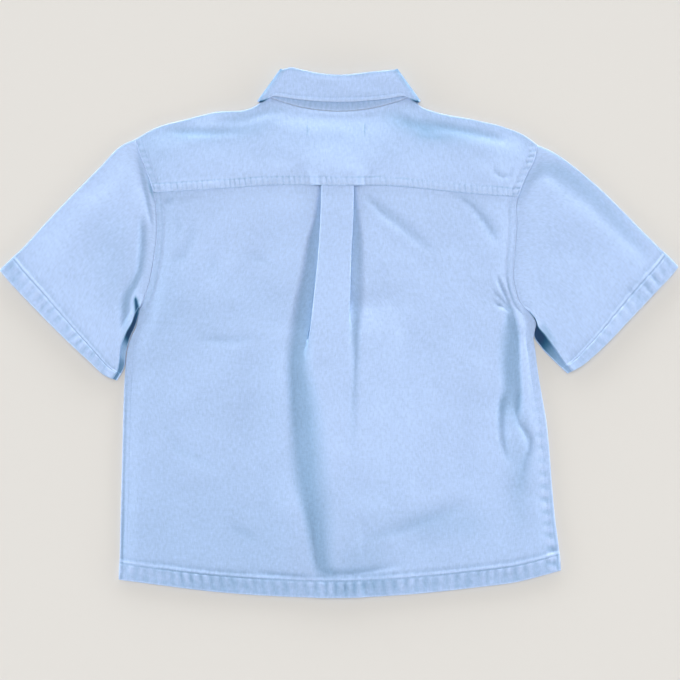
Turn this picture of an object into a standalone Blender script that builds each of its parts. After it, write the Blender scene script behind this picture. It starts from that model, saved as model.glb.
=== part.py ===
"""Denim shirt with short sleeves, laid flat with its back up.

+X runs to the wearer's right, +Y to the collar and +Z up from the surface that the fronts lie on.
The origin is on that surface, at the middle of the outline. Sizes below are in millimetres, and
each piece's points are turned into metres when its mesh is made. A piece of cloth is the grid of
its middle surface, which a Solidify modifier gives its thickness.
"""

import math

import bmesh
import bpy
import numpy as np
from mathutils import Vector

MM = 0.001

# Walls and seams
CLOTH = 1.2  # one wall of denim
DOUBLE = 1.8  # a turned hem, a placket or a felled seam
COLLAR = 1.6  # the collar's two layers, pressed together
GAP = 0.3  # between pieces that are sewn or lie together
TURN = (CLOTH + GAP) / 2  # radius of a tight fold, at the middle of the wall
FELL = 9.0  # felled band along each armhole
HEM = 22.0  # turned hem of the body
CUFF_HEM = 23.5  # turned hem of a sleeve
STEP = 1.5  # over which a wall thickens into a hem

# Buttons and the placket that lies on them
BUTTON = 2.0
BUTTON_RADIUS = 5.75
BUTTON_COUNT = 7
STAND_BUTTON_Y = 214.0
FIRST_BUTTON_Y = 178.0
BUTTON_PITCH = 72.0
LIFT = BUTTON + GAP  # height of the placket, and of all that lies on the collar's points
PLACKET = 34.0
PLACKET_SLOPE = 14.0
PLACKET_END = -285.0  # where the placket has come down to the surface again
PLACKET_END_SLOPE = 45.0

# Where the fronts come down to the surface again round the collar's points
POINTS_Y = 250.0
POINTS_REACH = (159.0, 135.0)
POINTS_SLOPE = 0.19

# Neckline and collar
NECK_HALF = 86.0
NECK_SIDE_Y = 283.5
NECK_BACK_DROP = 17.5
NECK_FRONT_DROP = 83.5
COLLAR_TOP_HALF = 67.0
COLLAR_TOP_SIDE_Y = 315.8
COLLAR_TOP_BACK_DROP = 7.0
COLLAR_TOP_FRONT_DROP = 85.0
STAND_SHARE = 0.86  # of the way up to the collar's fold, where the stand ends
STAND_OVERLAP = 8.0  # degrees past centre front
FRONT_NECK_COLUMNS = 12
LEAF_OPENING = 3.5  # degrees short of centre front
COLLAR_TURN = (COLLAR + GAP) / 2
COLLAR_MID_Z = LIFT + COLLAR / 2 + COLLAR_TURN
LEAF_REACH = 3 * COLLAR_TURN  # from the collar's middle plane out to the leaf
LEAF_SIDE = (95.0, 276.5)
LEAF_BACK_Y = 277.0
LEAF_BACK_ARCH = 7.0
LEAF_POINT = (52.0, 172.0)
LEAF_BULGE = (90.0, 222.0)
FORWARD_SEAM_NECK_Y = 253.0  # where the forward shoulder seam meets the neckline


class Table:
    """Short rows of numbers under named columns, which can be read between its rows."""

    def __init__(self, columns, *rows):
        self.column = dict(zip(columns.split(), np.array(rows, float).T))

    def __getitem__(self, name):
        return self.column[name]

    def at(self, name, where, key):
        """Column `name` where column `key` has the value `where`."""
        order = np.argsort(self.column[key])
        return float(np.interp(where, self.column[key][order], self.column[name][order]))


# Ends of the rows across the yoke, from the seam up to the shoulder fold
YOKE_ROWS = Table(
    "left_x left_y right_x right_y",
    (-222.0, 168.5, 215.0, 168.0),
    (-225.0, 178.0, 220.5, 179.5),
    (-228.5, 188.0, 225.5, 191.0),
    (-234.5, 204.0, 232.0, 203.0),
    (-240.0, 219.0, 236.0, 214.0),
    (-244.0, 233.0, 238.0, 226.0),
)
FORWARD_SEAM_ROW = 3  # the row whose ends are the forward seam's ends too

# Ends of the rows across the body, from the yoke seam down the armholes and sides to the hem
BODY_ROWS = Table(
    "left_x left_y right_x right_y",
    (-222.0, 168.5, 215.0, 168.0),
    (-220.5, 155.0, 212.5, 153.0),
    (-219.0, 138.0, 213.0, 136.0),
    (-219.0, 120.0, 212.5, 118.0),
    (-220.5, 102.0, 211.0, 99.0),
    (-223.5, 82.0, 209.5, 81.0),
    (-227.0, 64.0, 209.5, 65.0),
    (-231.5, 48.0, 212.5, 50.0),
    (-236.0, 36.0, 217.0, 37.0),
    (-241.0, 26.0, 229.0, 24.5),
    (-244.5, 8.0, 231.5, 8.0),
    (-250.0, -5.0, 233.0, -5.0),
    (-254.0, -22.0, 235.5, -22.0),
    (-256.5, -46.0, 238.5, -46.0),
    (-258.0, -76.0, 243.5, -76.0),
    (-259.0, -110.0, 249.0, -108.0),
    (-260.0, -150.0, 252.5, -145.0),
    (-261.0, -190.0, 255.5, -185.0),
    (-262.0, -230.0, 259.0, -222.0),
    (-263.0, -271.5, 264.0, -260.5),
    (-263.2, -273.0, 264.2, -262.0),
    (-264.0, -295.0, 266.0, -284.0),
)
PIT_ROW = 9  # the row at the bottom of the armholes

# How far the yoke seam and the hem bow away from a straight line between their ends
BOW = Table(
    "share seam hem",
    (0.00, 0.0, 0.0),
    (0.10, 4.8, -8.1),
    (0.20, 8.1, -15.8),
    (0.35, 11.5, -23.5),
    (0.50, 12.0, -27.3),
    (0.65, 11.8, -25.1),
    (0.80, 7.3, -18.6),
    (0.90, 3.6, -11.9),
    (1.00, 0.0, 0.0),
)

# Fold line along the shoulders
SHOULDER = Table(
    "x y",
    (-244.0, 233.0),
    (-221.0, 246.0),
    (-186.0, 256.0),
    (-150.0, 265.0),
    (-100.0, 272.5),
    (-86.0, 282.1),
    (86.0, 282.1),
    (98.0, 272.0),
    (112.0, 266.5),
    (163.0, 256.0),
    (199.0, 247.0),
    (224.0, 236.5),
    (238.0, 226.0),
)

# Box pleat: its two edges on top, how far the cloth turns under at each edge, and how deep it goes
PLEAT = Table(
    "y left right left_turn right_turn depth",
    (195.0, -21.0, 18.0, 180, 180, 14.0),
    (135.0, -23.5, 17.0, 180, 180, 12.0),
    (98.0, -26.5, 15.0, 180, 180, 9.0),
    (55.0, -30.0, 13.0, 180, 175, 5.0),
    (16.0, -34.0, 12.0, 150, 130, 2.0),
    (-43.0, -41.0, 12.0, 95, 45, 0.8),
    (-100.0, -40.0, 11.0, 60, 20, 1.5),
    (-143.0, -31.0, 10.0, 45, 12, 2.5),
    (-236.0, -22.0, 9.0, 22, 8, 5.0),
    (-320.0, -20.0, 9.0, 8, 6, 7.0),
)

# The largest folds of the back: a trough or ridge along a line, its half width and its height
FOLDS = Table(
    "x0 y0 x1 y1 width height",
    (37.0, 155.0, 103.0, 106.0, 9.0, -1.1),
    (140.0, 165.0, 188.0, 112.0, 9.0, -1.1),
    (204.0, 31.0, 207.0, -41.0, 12.0, -1.4),
    (207.0, -41.0, 194.0, -121.0, 12.0, -1.3),
    (228.0, -40.0, 222.0, -135.0, 12.0, 1.2),
    (199.0, -143.0, 219.0, -166.0, 10.0, -0.9),
    (-56.0, 10.0, -62.0, -70.0, 14.0, 0.9),
)

# Sleeves: the outline from the shoulder to the cuff, from the armpit to the cuff, and along the
# cuff. `inset` is how far in from the underarm outline the upper layer stands up.
SLEEVES = {
    "left": {
        "top": Table("x y", (-244, 233), (-258, 227), (-287, 199), (-316, 170), (-344, 141),
                     (-379, 103), (-400, 83), (-407, 76)),
        "under": Table("x y", (-242.6, 25.8), (-247, 10), (-253, -6), (-257.5, -22), (-260, -38),
                       (-266, -56.5)),
        "cuff": Table("x y", (-407, 76), (-397, 64), (-379, 45), (-342, 7), (-301, -32),
                      (-279, -51), (-266, -56.5)),
        "inset": (2.5, 4.0, 6.5, 6.5, 5.5, 7.0),
    },
    "right": {
        "top": Table("x y", (238, 226), (256, 218), (283, 199), (317, 170), (346, 141),
                     (384, 103), (400, 88), (407, 80)),
        "under": Table("x y", (231.0, 25.2), (237, 14), (242, -3), (250, -20), (261.5, -36),
                       (274, -48)),
        "cuff": Table("x y", (407, 80), (401, 72), (385, 55), (348, 16), (311, -22),
                      (289, -40), (274, -48)),
        "inset": (3.0, 8.0, 13.0, 14.0, 13.0, 8.0),
    },
}
# Half section of a button, from the middle of its inner face to that of its outer one
BUTTON_PROFILE = Table(
    "radius height",
    (0.0, BUTTON),
    (4.6, BUTTON),
    (BUTTON_RADIUS, 1.2),
    (5.3, 0.0),
    (4.2, 0.0),
    (3.5, 0.5),
    (0.0, 0.5),
)

SLEEVE_SHARES = (0.0, 0.06, 0.16, 0.28, 0.42, 0.56, 0.70)
PIT_BELLY = 45.0  # how strongly a sleeve's rings swing out past the bottom of the armhole
SLEEVE_LOFT = 2.6  # air between a sleeve's layers, at most
HEM_LOFT = 0.6  # share of it at the hem
LOFT_SHARE = 0.3  # of the sleeve's length, over which the loft grows from the armhole
LOFT_SLOPE = 45.0  # from the upper fold to the full loft

# How the back lies over the plackets
PLACKET_CLEAR = PLACKET / 2 + 7.0
BACK_SLOPE = 12.0
BACK_SPARE = 4.0
NECK_BACK_Y = 262.0

# The middle of the back stands this much clear of the fronts
BACK_LOFT = 2.0
PLACKET_SAG = 0.8  # share of it that is missing over the plackets
YOKE_LOFT = 1.0
EDGE_SLOPE = 42.0  # from an edge to where the back has its full loft
YOKE_SLOPE = 30.0  # and the yoke

# Where the yoke comes down behind the back panel's tucked edge, and beside the pleat under it
TUCKED_END = 28.0
TUCKED_SLOPE = 14.0
PLEAT_END = 26.0
PLEAT_SLOPE = 16.0

COLUMNS_BESIDE_PLEAT = 11
SHOULDER_COLUMNS = (0.0, 0.055, 0.2, 0.36, 0.52, 0.68, 0.82, 0.92, 1.0)
FRONT_COLUMNS = (0.0, 0.04, 0.12, 0.24, 0.38, 0.52, 0.66, 0.78, 0.86)
FRONT_SPACE = 5.0  # least space between the placket and the column beside it
FOLD_STEPS = 3  # flats round a half turn
TURNS = [math.pi * (0.5 - i / FOLD_STEPS) for i in range(1, FOLD_STEPS)]  # from the upper layer down


def smooth(value):
    """0 to 1 with no kink at either end."""
    value = min(max(value, 0.0), 1.0)
    return value * value * (3 - 2 * value)


def mix(a, b, share):
    return a + (b - a) * share


def along(table, share):
    """The point at a share of the length of a smooth curve through a table's points."""
    points = np.column_stack([table["x"], table["y"]])
    before = np.vstack([2 * points[0] - points[1], points[:-1]])
    after = np.vstack([points[1:], 2 * points[-1] - points[-2]])
    slopes = (after - before) / 2
    lengths = np.concatenate([[0], np.cumsum(np.linalg.norm(np.diff(points, axis=0), axis=1))])
    place = share * lengths[-1]
    i = int(min(np.searchsorted(lengths, place, side="right") - 1, len(points) - 2))
    t = (place - lengths[i]) / (lengths[i + 1] - lengths[i])
    start, end = points[i], points[i + 1]
    ease = t * t * (3 - 2 * t)
    bend = t * (1 - t) ** 2 * slopes[i] - t * t * (1 - t) * slopes[i + 1]
    return start + (end - start) * ease + bend


# Edges of the body


def side_x(side, y):
    """The armhole's or side's x at a height on the body."""
    table = YOKE_ROWS if y > YOKE_ROWS[f"{side}_y"][0] else BODY_ROWS
    return table.at(f"{side}_x", y, f"{side}_y")


def seam_y(x):
    share = (x - YOKE_ROWS["left_x"][0]) / (YOKE_ROWS["right_x"][0] - YOKE_ROWS["left_x"][0])
    ends = mix(YOKE_ROWS["left_y"][0], YOKE_ROWS["right_y"][0], share)
    return ends + BOW.at("seam", share, "share")


def hem_y(x):
    share = (x - BODY_ROWS["left_x"][-1]) / (BODY_ROWS["right_x"][-1] - BODY_ROWS["left_x"][-1])
    ends = mix(BODY_ROWS["left_y"][-1], BODY_ROWS["right_y"][-1], share)
    return ends + BOW.at("hem", share, "share")


def neck_back_y(x):
    return NECK_SIDE_Y - NECK_BACK_DROP * (1 - (x / NECK_HALF) ** 2)


def neck_front_y(x):
    return NECK_SIDE_Y - NECK_FRONT_DROP * math.sqrt(max(0.0, 1 - (x / NECK_HALF) ** 2))


def neck_front_x(y):
    return NECK_HALF * math.sqrt(max(0.0, 1 - ((NECK_SIDE_Y - y) / NECK_FRONT_DROP) ** 2))


# Heights. Each layer lies on the one below it.


def lift(x, y, spare=0.0):
    """How far the fronts stand off the surface, over the buttons and the collar's points."""
    on_placket = smooth((PLACKET / 2 + 2 * spare + PLACKET_SLOPE - abs(x)) / (PLACKET_SLOPE + spare))
    on_placket *= smooth((y + spare - PLACKET_END) / PLACKET_END_SLOPE)
    across, down = POINTS_REACH
    collar = math.hypot(x / (across + spare), (y - POINTS_Y) / (down + spare))
    on_collar = smooth((1 - collar) / POINTS_SLOPE)
    return LIFT * max(on_placket, on_collar)


def hem_band(x, y, spare=0.0):
    return smooth((hem_y(x) + HEM + STEP / 2 + spare - y) / STEP)


def front_wall(x, y):
    placket = smooth((PLACKET / 2 - abs(x)) / STEP + 1)
    return mix(CLOTH, DOUBLE, max(placket, hem_band(x, y)))


def second_placket(x, y):
    """1 where the back lies on both plackets, down to 0 beside them and inside the neck."""
    beside = smooth((PLACKET_CLEAR - abs(x)) / BACK_SLOPE + 1)
    return beside * smooth((NECK_BACK_Y - y) / BACK_SLOPE / 2)


def fronts_top(x, y):
    """The height that the back lies on, a little wider than the fronts that carry it."""
    over = lift(x, y, BACK_SPARE)
    second = second_placket(x, y)
    single = mix(CLOTH, DOUBLE, max(hem_band(x, y, STEP), over / LIFT, second))
    return single + (DOUBLE + GAP) * second + over


def inside(x, y):
    """0 on the body's outline to 1 well inside it."""
    sides = min(x - side_x("left", y), side_x("right", y) - x)
    return smooth(min(sides, y - hem_y(x)) / EDGE_SLOPE)


def folds(x, y):
    """The sum of the back's largest folds at a point."""
    x0, y0, x1, y1 = (FOLDS[name] for name in ("x0", "y0", "x1", "y1"))
    way_x, way_y = x1 - x0, y1 - y0
    share = ((x - x0) * way_x + (y - y0) * way_y) / (way_x**2 + way_y**2)
    share = np.clip(share, 0, 1)
    away = np.hypot(x0 + way_x * share - x, y0 + way_y * share - y)
    return float(np.sum(FOLDS["height"] * np.exp(-((away / FOLDS["width"]) ** 2))))


def back_wall(x, y):
    edge = min(x - side_x("left", y), side_x("right", y) - x)
    felled = smooth((FELL + STEP / 2 - edge) / STEP) if y > BODY_ROWS["left_y"][PIT_ROW] else 0.0
    felled *= smooth((seam_y(x) - y) / FELL)
    return mix(CLOTH, DOUBLE, max(felled, hem_band(x, y)))


def back_z(x, y):
    """Middle of the back panel's wall, without its pleat."""
    below_yoke = smooth((seam_y(x) - y) / EDGE_SLOPE)
    sag = 1 - PLACKET_SAG * second_placket(x, y)
    loft = (BACK_LOFT + folds(x, y)) * inside(x, y) * below_yoke * sag
    return fronts_top(x, y) + GAP + back_wall(x, y) / 2 + max(loft, 0.0)


def yoke_wall(x, y, to_fold):
    edge = min(x - side_x("left", y), side_x("right", y) - x)
    felled = smooth((FELL + STEP / 2 - edge) / STEP) * (to_fold > 10)
    return mix(CLOTH, DOUBLE, felled)


def yoke_z(x, y, to_fold):
    """Middle of the yoke's wall: over the back panel's tucked edge, then down on the fronts."""
    tucked = smooth((TUCKED_END - y + seam_y(x)) / TUCKED_SLOPE)
    left, right = (PLEAT.at(name, y, "y") for name in ("left", "right"))
    on_pleat = smooth((min(x - left, right - x) + PLEAT_END) / PLEAT_SLOPE)
    from_side = min(x - side_x("left", y), side_x("right", y) - x)
    loft = YOKE_LOFT * smooth(from_side / YOKE_SLOPE) * smooth(to_fold / YOKE_SLOPE)
    under = CLOTH + GAP + (4 * TURN + GAP) * on_pleat
    below = fronts_top(x, y) + tucked * under + loft * (1 - 0.7 * tucked)
    return below + GAP + yoke_wall(x, y, to_fold) / 2


# Meshes


def material(name, colour, roughness):
    made = bpy.data.materials.new(name)
    made.use_nodes = True
    shader = made.node_tree.nodes["Principled BSDF"]
    shader.inputs["Base Color"].default_value = (*colour, 1.0)
    shader.inputs["Roughness"].default_value = roughness
    shader.inputs["Metallic"].default_value = 0.0
    return made


def add(name, mesh, finish, collection):
    piece = bpy.data.objects.new(name, mesh)
    mesh.materials.append(finish)
    mesh.shade_smooth()
    mesh.set_sharp_from_angle(angle=math.radians(40))
    collection.objects.link(piece)
    return piece


def cloth(name, rows, finish, collection, ring=False):
    """A piece of cloth from rows of (x, y, z, wall), with None where the piece has no cloth."""
    form = bmesh.new()
    wall_layer = form.verts.layers.deform.verify()
    grid = []
    for row in rows:
        made = []
        for point in row:
            if point is None:
                made.append(None)
                continue
            vertex = form.verts.new(Vector(point[:3]) * MM)
            vertex[wall_layer][0] = point[3] / DOUBLE
            made.append(vertex)
        grid.append(made)
    for lower, upper in zip(grid, grid[1:]):
        steps = range(len(lower) if ring else len(lower) - 1)
        for i in steps:
            j = (i + 1) % len(lower)
            corners = (lower[i], lower[j], upper[j], upper[i])
            if None not in corners:
                form.faces.new(corners)
    mesh = bpy.data.meshes.new(name)
    form.to_mesh(mesh)
    form.free()
    piece = add(name, mesh, finish, collection)
    piece.vertex_groups.new(name="wall")
    shell = piece.modifiers.new("Wall", "SOLIDIFY")
    shell.thickness = DOUBLE * MM
    shell.offset = 0.0
    shell.vertex_group = "wall"
    return piece


# Back panel with its box pleat


def pleat_side(turn, depth):
    """Offsets (sideways, up) of the path that turns under and back up again, ending on top."""
    turn = math.radians(turn)
    path = [(0.0, 0.0)]
    heading = 0.0
    for bend in (1, -1):
        flat = 2 * TURN * math.sin(turn / FOLD_STEPS / 2)
        for _ in range(FOLD_STEPS):
            heading += bend * turn / FOLD_STEPS / 2
            path.append((path[-1][0] + flat * math.cos(heading), path[-1][1] + flat * math.sin(heading)))
            heading += bend * turn / FOLD_STEPS / 2
        if bend > 0:
            path.append((path[-1][0] + depth * math.cos(turn), path[-1][1] + depth * math.sin(turn)))
    end = path[-1][0]
    return [(sideways - end, up) for sideways, up in path]


def back_row(left, right, bow):
    """One row across the back: to the pleat, under it, over it and on to the other side."""

    def height(x):
        share = (x - left[0]) / (right[0] - left[0])
        return mix(left[1], right[1], share) + bow(share)

    level = height(0.0)
    edge = {side: PLEAT.at(side, level, "y") for side in ("left", "right")}
    depth = PLEAT.at("depth", level, "y")
    rise = TURN + CLOTH / 2
    sides = {}
    for side, sign in (("left", 1), ("right", -1)):
        path = pleat_side(PLEAT.at(f"{side}_turn", level, "y"), depth)
        sides[side] = [(edge[side] + sign * (sideways + rise), up) for sideways, up in path]
    spread = [smooth(i / COLUMNS_BESIDE_PLEAT) * 0.35 + i / COLUMNS_BESIDE_PLEAT * 0.65
              for i in range(COLUMNS_BESIDE_PLEAT)]
    to_pleat = [(mix(left[0], sides["left"][0][0], share), 0.0) for share in spread]
    from_pleat = [(mix(right[0], sides["right"][0][0], share), 0.0) for share in reversed(spread)]
    near, far = sides["left"][-1], sides["right"][-1]
    on_top = [(mix(near[0], far[0], share), mix(near[1], far[1], share)) for share in (0.33, 0.67)]
    path = to_pleat + sides["left"] + on_top + sides["right"][::-1] + from_pleat
    row = []
    for x, up in path:
        y = height(x)
        base_x = min(max(x, sides["left"][0][0]), edge["right"] + rise) if up else x
        row.append((x, y, back_z(base_x, y) + up, back_wall(x, y)))
    return row


def back_panel(finish, collection):
    ends = list(zip(*(BODY_ROWS[name] for name in ("left_x", "left_y", "right_x", "right_y"))))
    under_yoke = [YOKE_ROWS[name][1] for name in ("left_x", "left_y", "right_x", "right_y")]
    top_y, bottom_y = ends[0][1], ends[-1][1]
    rows = []
    for left_x, left_y, right_x, right_y in [under_yoke, *ends]:

        def bow(across, down=max((top_y - left_y) / (top_y - bottom_y), 0.0)):
            return mix(BOW.at("seam", across, "share"), BOW.at("hem", across, "share"), down)

        rows.append(back_row((left_x, left_y), (right_x, right_y), bow))
    return cloth("back_panel", rows[::-1], finish, collection)


# Yoke: its upper part, then over each shoulder to the forward seam


def yoke(finish, collection):
    left_top, right_top = YOKE_ROWS["left_x"][-1], YOKE_ROWS["right_x"][-1]
    left = [mix(left_top, -NECK_HALF, share) for share in SHOULDER_COLUMNS]
    right = [mix(right_top, NECK_HALF, share) for share in reversed(SHOULDER_COLUMNS)]
    neck = [NECK_HALF * step / 6 for step in range(-5, 6)]
    columns = left + neck + right
    rows = []
    for k in range(len(YOKE_ROWS["left_x"]) - 1):
        row = []
        for top_x in columns:
            across = (top_x - left_top) / (right_top - left_top)
            x = mix(YOKE_ROWS["left_x"][k], YOKE_ROWS["right_x"][k], across)
            low_x = mix(YOKE_ROWS["left_x"][0], YOKE_ROWS["right_x"][0], across)
            up = mix(share_up("left_y", k), share_up("right_y", k), across)
            y = mix(seam_y(low_x), yoke_top_y(top_x), up)
            to_fold = yoke_top_y(top_x) - y
            row.append((x, y, yoke_z(x, y, to_fold), yoke_wall(x, y, to_fold)))
        rows.append(row)
    ends = [over_shoulder(x) if abs(x) >= NECK_HALF else at_neck_seam(x) for x in columns]
    for k in range(max(len(end) for end in ends)):
        rows.append([end[k] if k < len(end) else None for end in ends])
    return cloth("back_yoke", rows, finish, collection)


def share_up(column, k):
    ends = YOKE_ROWS[column]
    return (ends[k] - ends[0]) / (ends[-1] - ends[0])


def yoke_top_y(x):
    return neck_back_y(x) if abs(x) < NECK_HALF else SHOULDER.at("y", x, "x")


def at_neck_seam(x):
    y = neck_back_y(x) - GAP
    return [(x, y, yoke_z(x, y, 0.0), CLOTH)]


def over_shoulder(x):
    """A column of the yoke from its shoulder fold, round it and down to the forward seam."""
    fold_y = SHOULDER.at("y", x, "x")
    high = yoke_z(x, fold_y, 0.0)
    low = CLOTH / 2 + lift(x, fold_y - 2 * TURN)
    radius = (high - low) / 2
    centre_y = fold_y - radius - CLOTH / 2
    column = [(x, centre_y, high, CLOTH)]
    for angle in TURNS:
        out, up = radius * math.cos(angle), radius * math.sin(angle)
        column.append((x, centre_y + out, low + radius + up, CLOTH))
    column.append((x, centre_y, low, CLOTH))
    return column + [forward_point(x, centre_y, share) for share in (0.5, 1.0)]


def forward_point(x, fold_y, share):
    """A point of the yoke's front strip, from the shoulder fold to the forward seam."""
    seam_x, seam_end_y = forward_seam(x)
    at_x, at_y = mix(x, seam_x, share), mix(fold_y, seam_end_y + GAP, share)
    at_x = math.copysign(max(abs(at_x), neck_front_x(at_y) + 3 * GAP), x)
    return (at_x, at_y, CLOTH / 2 + lift(at_x, at_y), CLOTH)


def forward_seam(shoulder_x):
    """Where the yoke's column that crosses the shoulder at this x ends, on the forward seam."""
    side = "left" if shoulder_x < 0 else "right"
    end_x, end_y = YOKE_ROWS[f"{side}_x"][FORWARD_SEAM_ROW], YOKE_ROWS[f"{side}_y"][FORWARD_SEAM_ROW]
    start_x = YOKE_ROWS[f"{side}_x"][-1]
    neck_x = math.copysign(neck_front_x(FORWARD_SEAM_NECK_Y), shoulder_x)
    share = (shoulder_x - start_x) / (math.copysign(NECK_HALF, shoulder_x) - start_x)
    return mix(end_x, neck_x, share), mix(end_y, FORWARD_SEAM_NECK_Y, share)


# Fronts


def front(side, finish, collection):
    """A front: from its forward seam and neckline to the hem, and from its side to its placket."""
    sign = -1 if side == "left" else 1
    yoke_ends = range(FORWARD_SEAM_ROW, 0, -1)
    ends = [(YOKE_ROWS[f"{side}_x"][k], YOKE_ROWS[f"{side}_y"][k]) for k in yoke_ends]
    ends += list(zip(BODY_ROWS[f"{side}_x"], BODY_ROWS[f"{side}_y"]))
    neck_x = neck_front_x(FORWARD_SEAM_NECK_Y)
    top_end, hem_end = ends[0], ends[-1]
    edge = PLACKET / 2

    def top_y(column):
        share = (column - neck_x) / (abs(top_end[0]) - neck_x)
        return neck_front_y(column) if share < 0 else mix(FORWARD_SEAM_NECK_Y, top_end[1], share)

    at_neck = [NECK_HALF * math.cos(math.radians(angle))
               for angle in np.linspace(0, 90 + STAND_OVERLAP, FRONT_NECK_COLUMNS)]
    near_centre = [neck_x, *(x for x in at_neck if edge + FRONT_SPACE < x < neck_x - STEP)]
    near_centre += [edge + STEP, edge, edge - STEP, min(x for x in at_neck if x > 0), -edge]
    rows = []
    for end_x, end_y in ends:
        down = (top_end[1] - end_y) / (top_end[1] - hem_end[1])
        columns = [(mix(abs(end_x), neck_x, share), mix(abs(top_end[0]), neck_x, share))
                   for share in FRONT_COLUMNS]
        columns += [(column, column) for column in near_centre]
        row = []
        for column, top_column in columns:
            x = sign * column
            y = mix(top_y(top_column), hem_y(x), down)
            wall = front_wall(x, y)
            z = wall / 2 + lift(x, y)
            if side == "left":
                z += (DOUBLE + GAP) * smooth((x + edge) / PLACKET_SLOPE + 1 + STEP / PLACKET_SLOPE)
            row.append((x, y - GAP * (end_y == top_end[1]), z, wall))
        rows.append(row)
    if side == "left":
        rows = rows[::-1]
    return cloth(f"front_{side}", rows, finish, collection)


# Sleeves


def sleeve(side, finish, collection):
    """A flattened tube: rings of an upper and a lower layer with a fold at the top and underarm."""
    shape = SLEEVES[side]
    out = -1 if side == "left" else 1
    armhole = list(zip(YOKE_ROWS[f"{side}_x"][::-1], YOKE_ROWS[f"{side}_y"][::-1]))
    armhole += list(zip(BODY_ROWS[f"{side}_x"], BODY_ROWS[f"{side}_y"]))[1 : PIT_ROW + 1]
    armhole = np.array(outward(armhole, out)[:-1] + [along(shape["under"], 0.0)])
    steps = np.linalg.norm(np.diff(armhole, axis=0), axis=1)
    across = np.concatenate([[0], np.cumsum(steps)]) / steps.sum()
    top_ends = along(shape["top"], 0.0), along(shape["top"], 1.0)
    under_ends = along(shape["under"], 0.0), along(shape["under"], 1.0)
    length = math.dist(*top_ends)
    hem_share = 1 - CUFF_HEM / length
    inset_at = np.linspace(0, 1, len(shape["inset"]))
    rings = []
    for share in [*SLEEVE_SHARES, hem_share - STEP / length, hem_share, 1.0]:
        top_bow = along(shape["top"], share) - mix(*top_ends, share)
        under_bow = along(shape["under"], share) - mix(*under_ends, share)
        plan = []
        for point, w in zip(armhole, across):
            ruled = mix(point, along(shape["cuff"], w), share) + mix(top_bow, under_bow, w)
            belly = smooth((w - 0.5) / 0.35) * smooth((1 - w) / 0.07) * share * (1 - share) ** 2
            plan.append(ruled + np.array([out, 0.5]) * PIT_BELLY * belly)
        inset = float(np.interp(share, inset_at, shape["inset"]))
        rings.append(sleeve_ring(plan, across, share, inset, share >= hem_share))
    if side == "right":
        rings = [ring[::-1] for ring in rings]
    return cloth(f"sleeve_{side}", rings, finish, collection, ring=True)


def outward(points, out):
    """The armhole moved off the body by a gap, so that the sleeve meets it edge to edge."""
    moved = []
    for i, point in enumerate(points):
        before, after = points[max(i - 1, 0)], points[min(i + 1, len(points) - 1)]
        way = Vector(after) - Vector(before)
        normal = Vector((way.y, -way.x)).normalized()
        if normal.x * out < 0:
            normal = -normal
        moved.append(tuple(Vector(point) + normal * (2 * GAP)))
    return moved


def sleeve_ring(plan, across, share, inset, hem):
    """Points (x, y, z, wall) round one ring of a sleeve."""
    wall = DOUBLE if hem else CLOTH
    low = wall / 2
    width = math.dist(plan[0], plan[-1])
    radius = (wall + GAP) / 2
    loft = SLEEVE_LOFT * smooth(share / LOFT_SHARE) * (HEM_LOFT if hem else 1.0)
    first = plan[0] + (plan[1] - plan[0]) * ((radius + wall / 2) / math.dist(plan[0], plan[1]))
    last = plan[-1] + (plan[-2] - plan[-1]) * ((radius + wall / 2) / math.dist(plan[-1], plan[-2]))
    middle = [first, *plan[1:-1], last]
    upper, lower = [], []
    for point, w in zip(middle, across):
        from_top = smooth(w * width / LOFT_SLOPE)
        from_under = smooth((1 - w) * width / (2 * inset))
        air = loft * from_top * from_under
        upper.append((point[0], point[1], low + 2 * radius + air, wall))
        lower.append((point[0], point[1], low, wall))
    under_fold = ring_fold(middle[-1], middle[-1] - middle[-2], low, radius, wall)
    top_fold = ring_fold(middle[0], middle[0] - middle[1], low, radius, wall)
    return upper + under_fold + lower[::-1] + top_fold[::-1]


def ring_fold(centre, way, low, radius, wall):
    """The points between a sleeve's upper and lower layers at one of its two folds."""
    way = way / np.linalg.norm(way)
    made = []
    for angle in TURNS:
        place = centre + way * radius * math.cos(angle)
        made.append((place[0], place[1], low + radius + radius * math.sin(angle), wall))
    return made


# Collar: a flattened ring that is open at centre front. A column of it is its place on the
# middle plane at the neck seam and at the fold, and the way from that plane out to the cloth.


def collar_columns(front_end):
    """Columns from the left end at centre front, round the back, to the right end."""
    fronts = np.linspace(0, front_end, FRONT_NECK_COLUMNS)
    sides = TURNS[::-1]
    columns = []
    for sign in (-1, 1):
        half = [collar_column(sign, angle=angle) for angle in fronts[::-1]]
        half += [collar_column(sign, side=angle) for angle in sides]
        columns += half if sign < 0 else half[::-1]
        if sign < 0:
            columns += [collar_column(0, back=share) for share in np.linspace(-1, 1, 13)]
    return columns


def collar_column(sign, angle=None, side=None, back=None):
    if back is not None:
        low = (NECK_HALF * back, neck_back_y(NECK_HALF * back))
        high = (COLLAR_TOP_HALF * back, COLLAR_TOP_SIDE_Y - COLLAR_TOP_BACK_DROP * (1 - back**2))
        out = Vector((0, 0, 1))
        kind = ("back", math.copysign(1, back), abs(back))
    else:
        turn = math.radians(angle or 0.0)
        low = (sign * NECK_HALF * math.cos(turn), NECK_SIDE_Y - NECK_FRONT_DROP * math.sin(turn))
        high = (sign * COLLAR_TOP_HALF * math.cos(turn),
                COLLAR_TOP_SIDE_Y - COLLAR_TOP_FRONT_DROP * math.sin(turn))
        out = Vector((0, 0, -1))
        kind = ("front", sign, (angle or 0.0) / 90)
        if side is not None:
            rise = Vector((COLLAR_TOP_HALF - NECK_HALF, COLLAR_TOP_SIDE_Y - NECK_SIDE_Y)).normalized()
            out = Vector((sign * rise.y * math.cos(side), -rise.x * math.cos(side), math.sin(side)))
            kind = ("side", sign, 0.0)
    return Vector((*low, COLLAR_MID_Z)), Vector((*high, COLLAR_MID_Z)), out, kind


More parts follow.
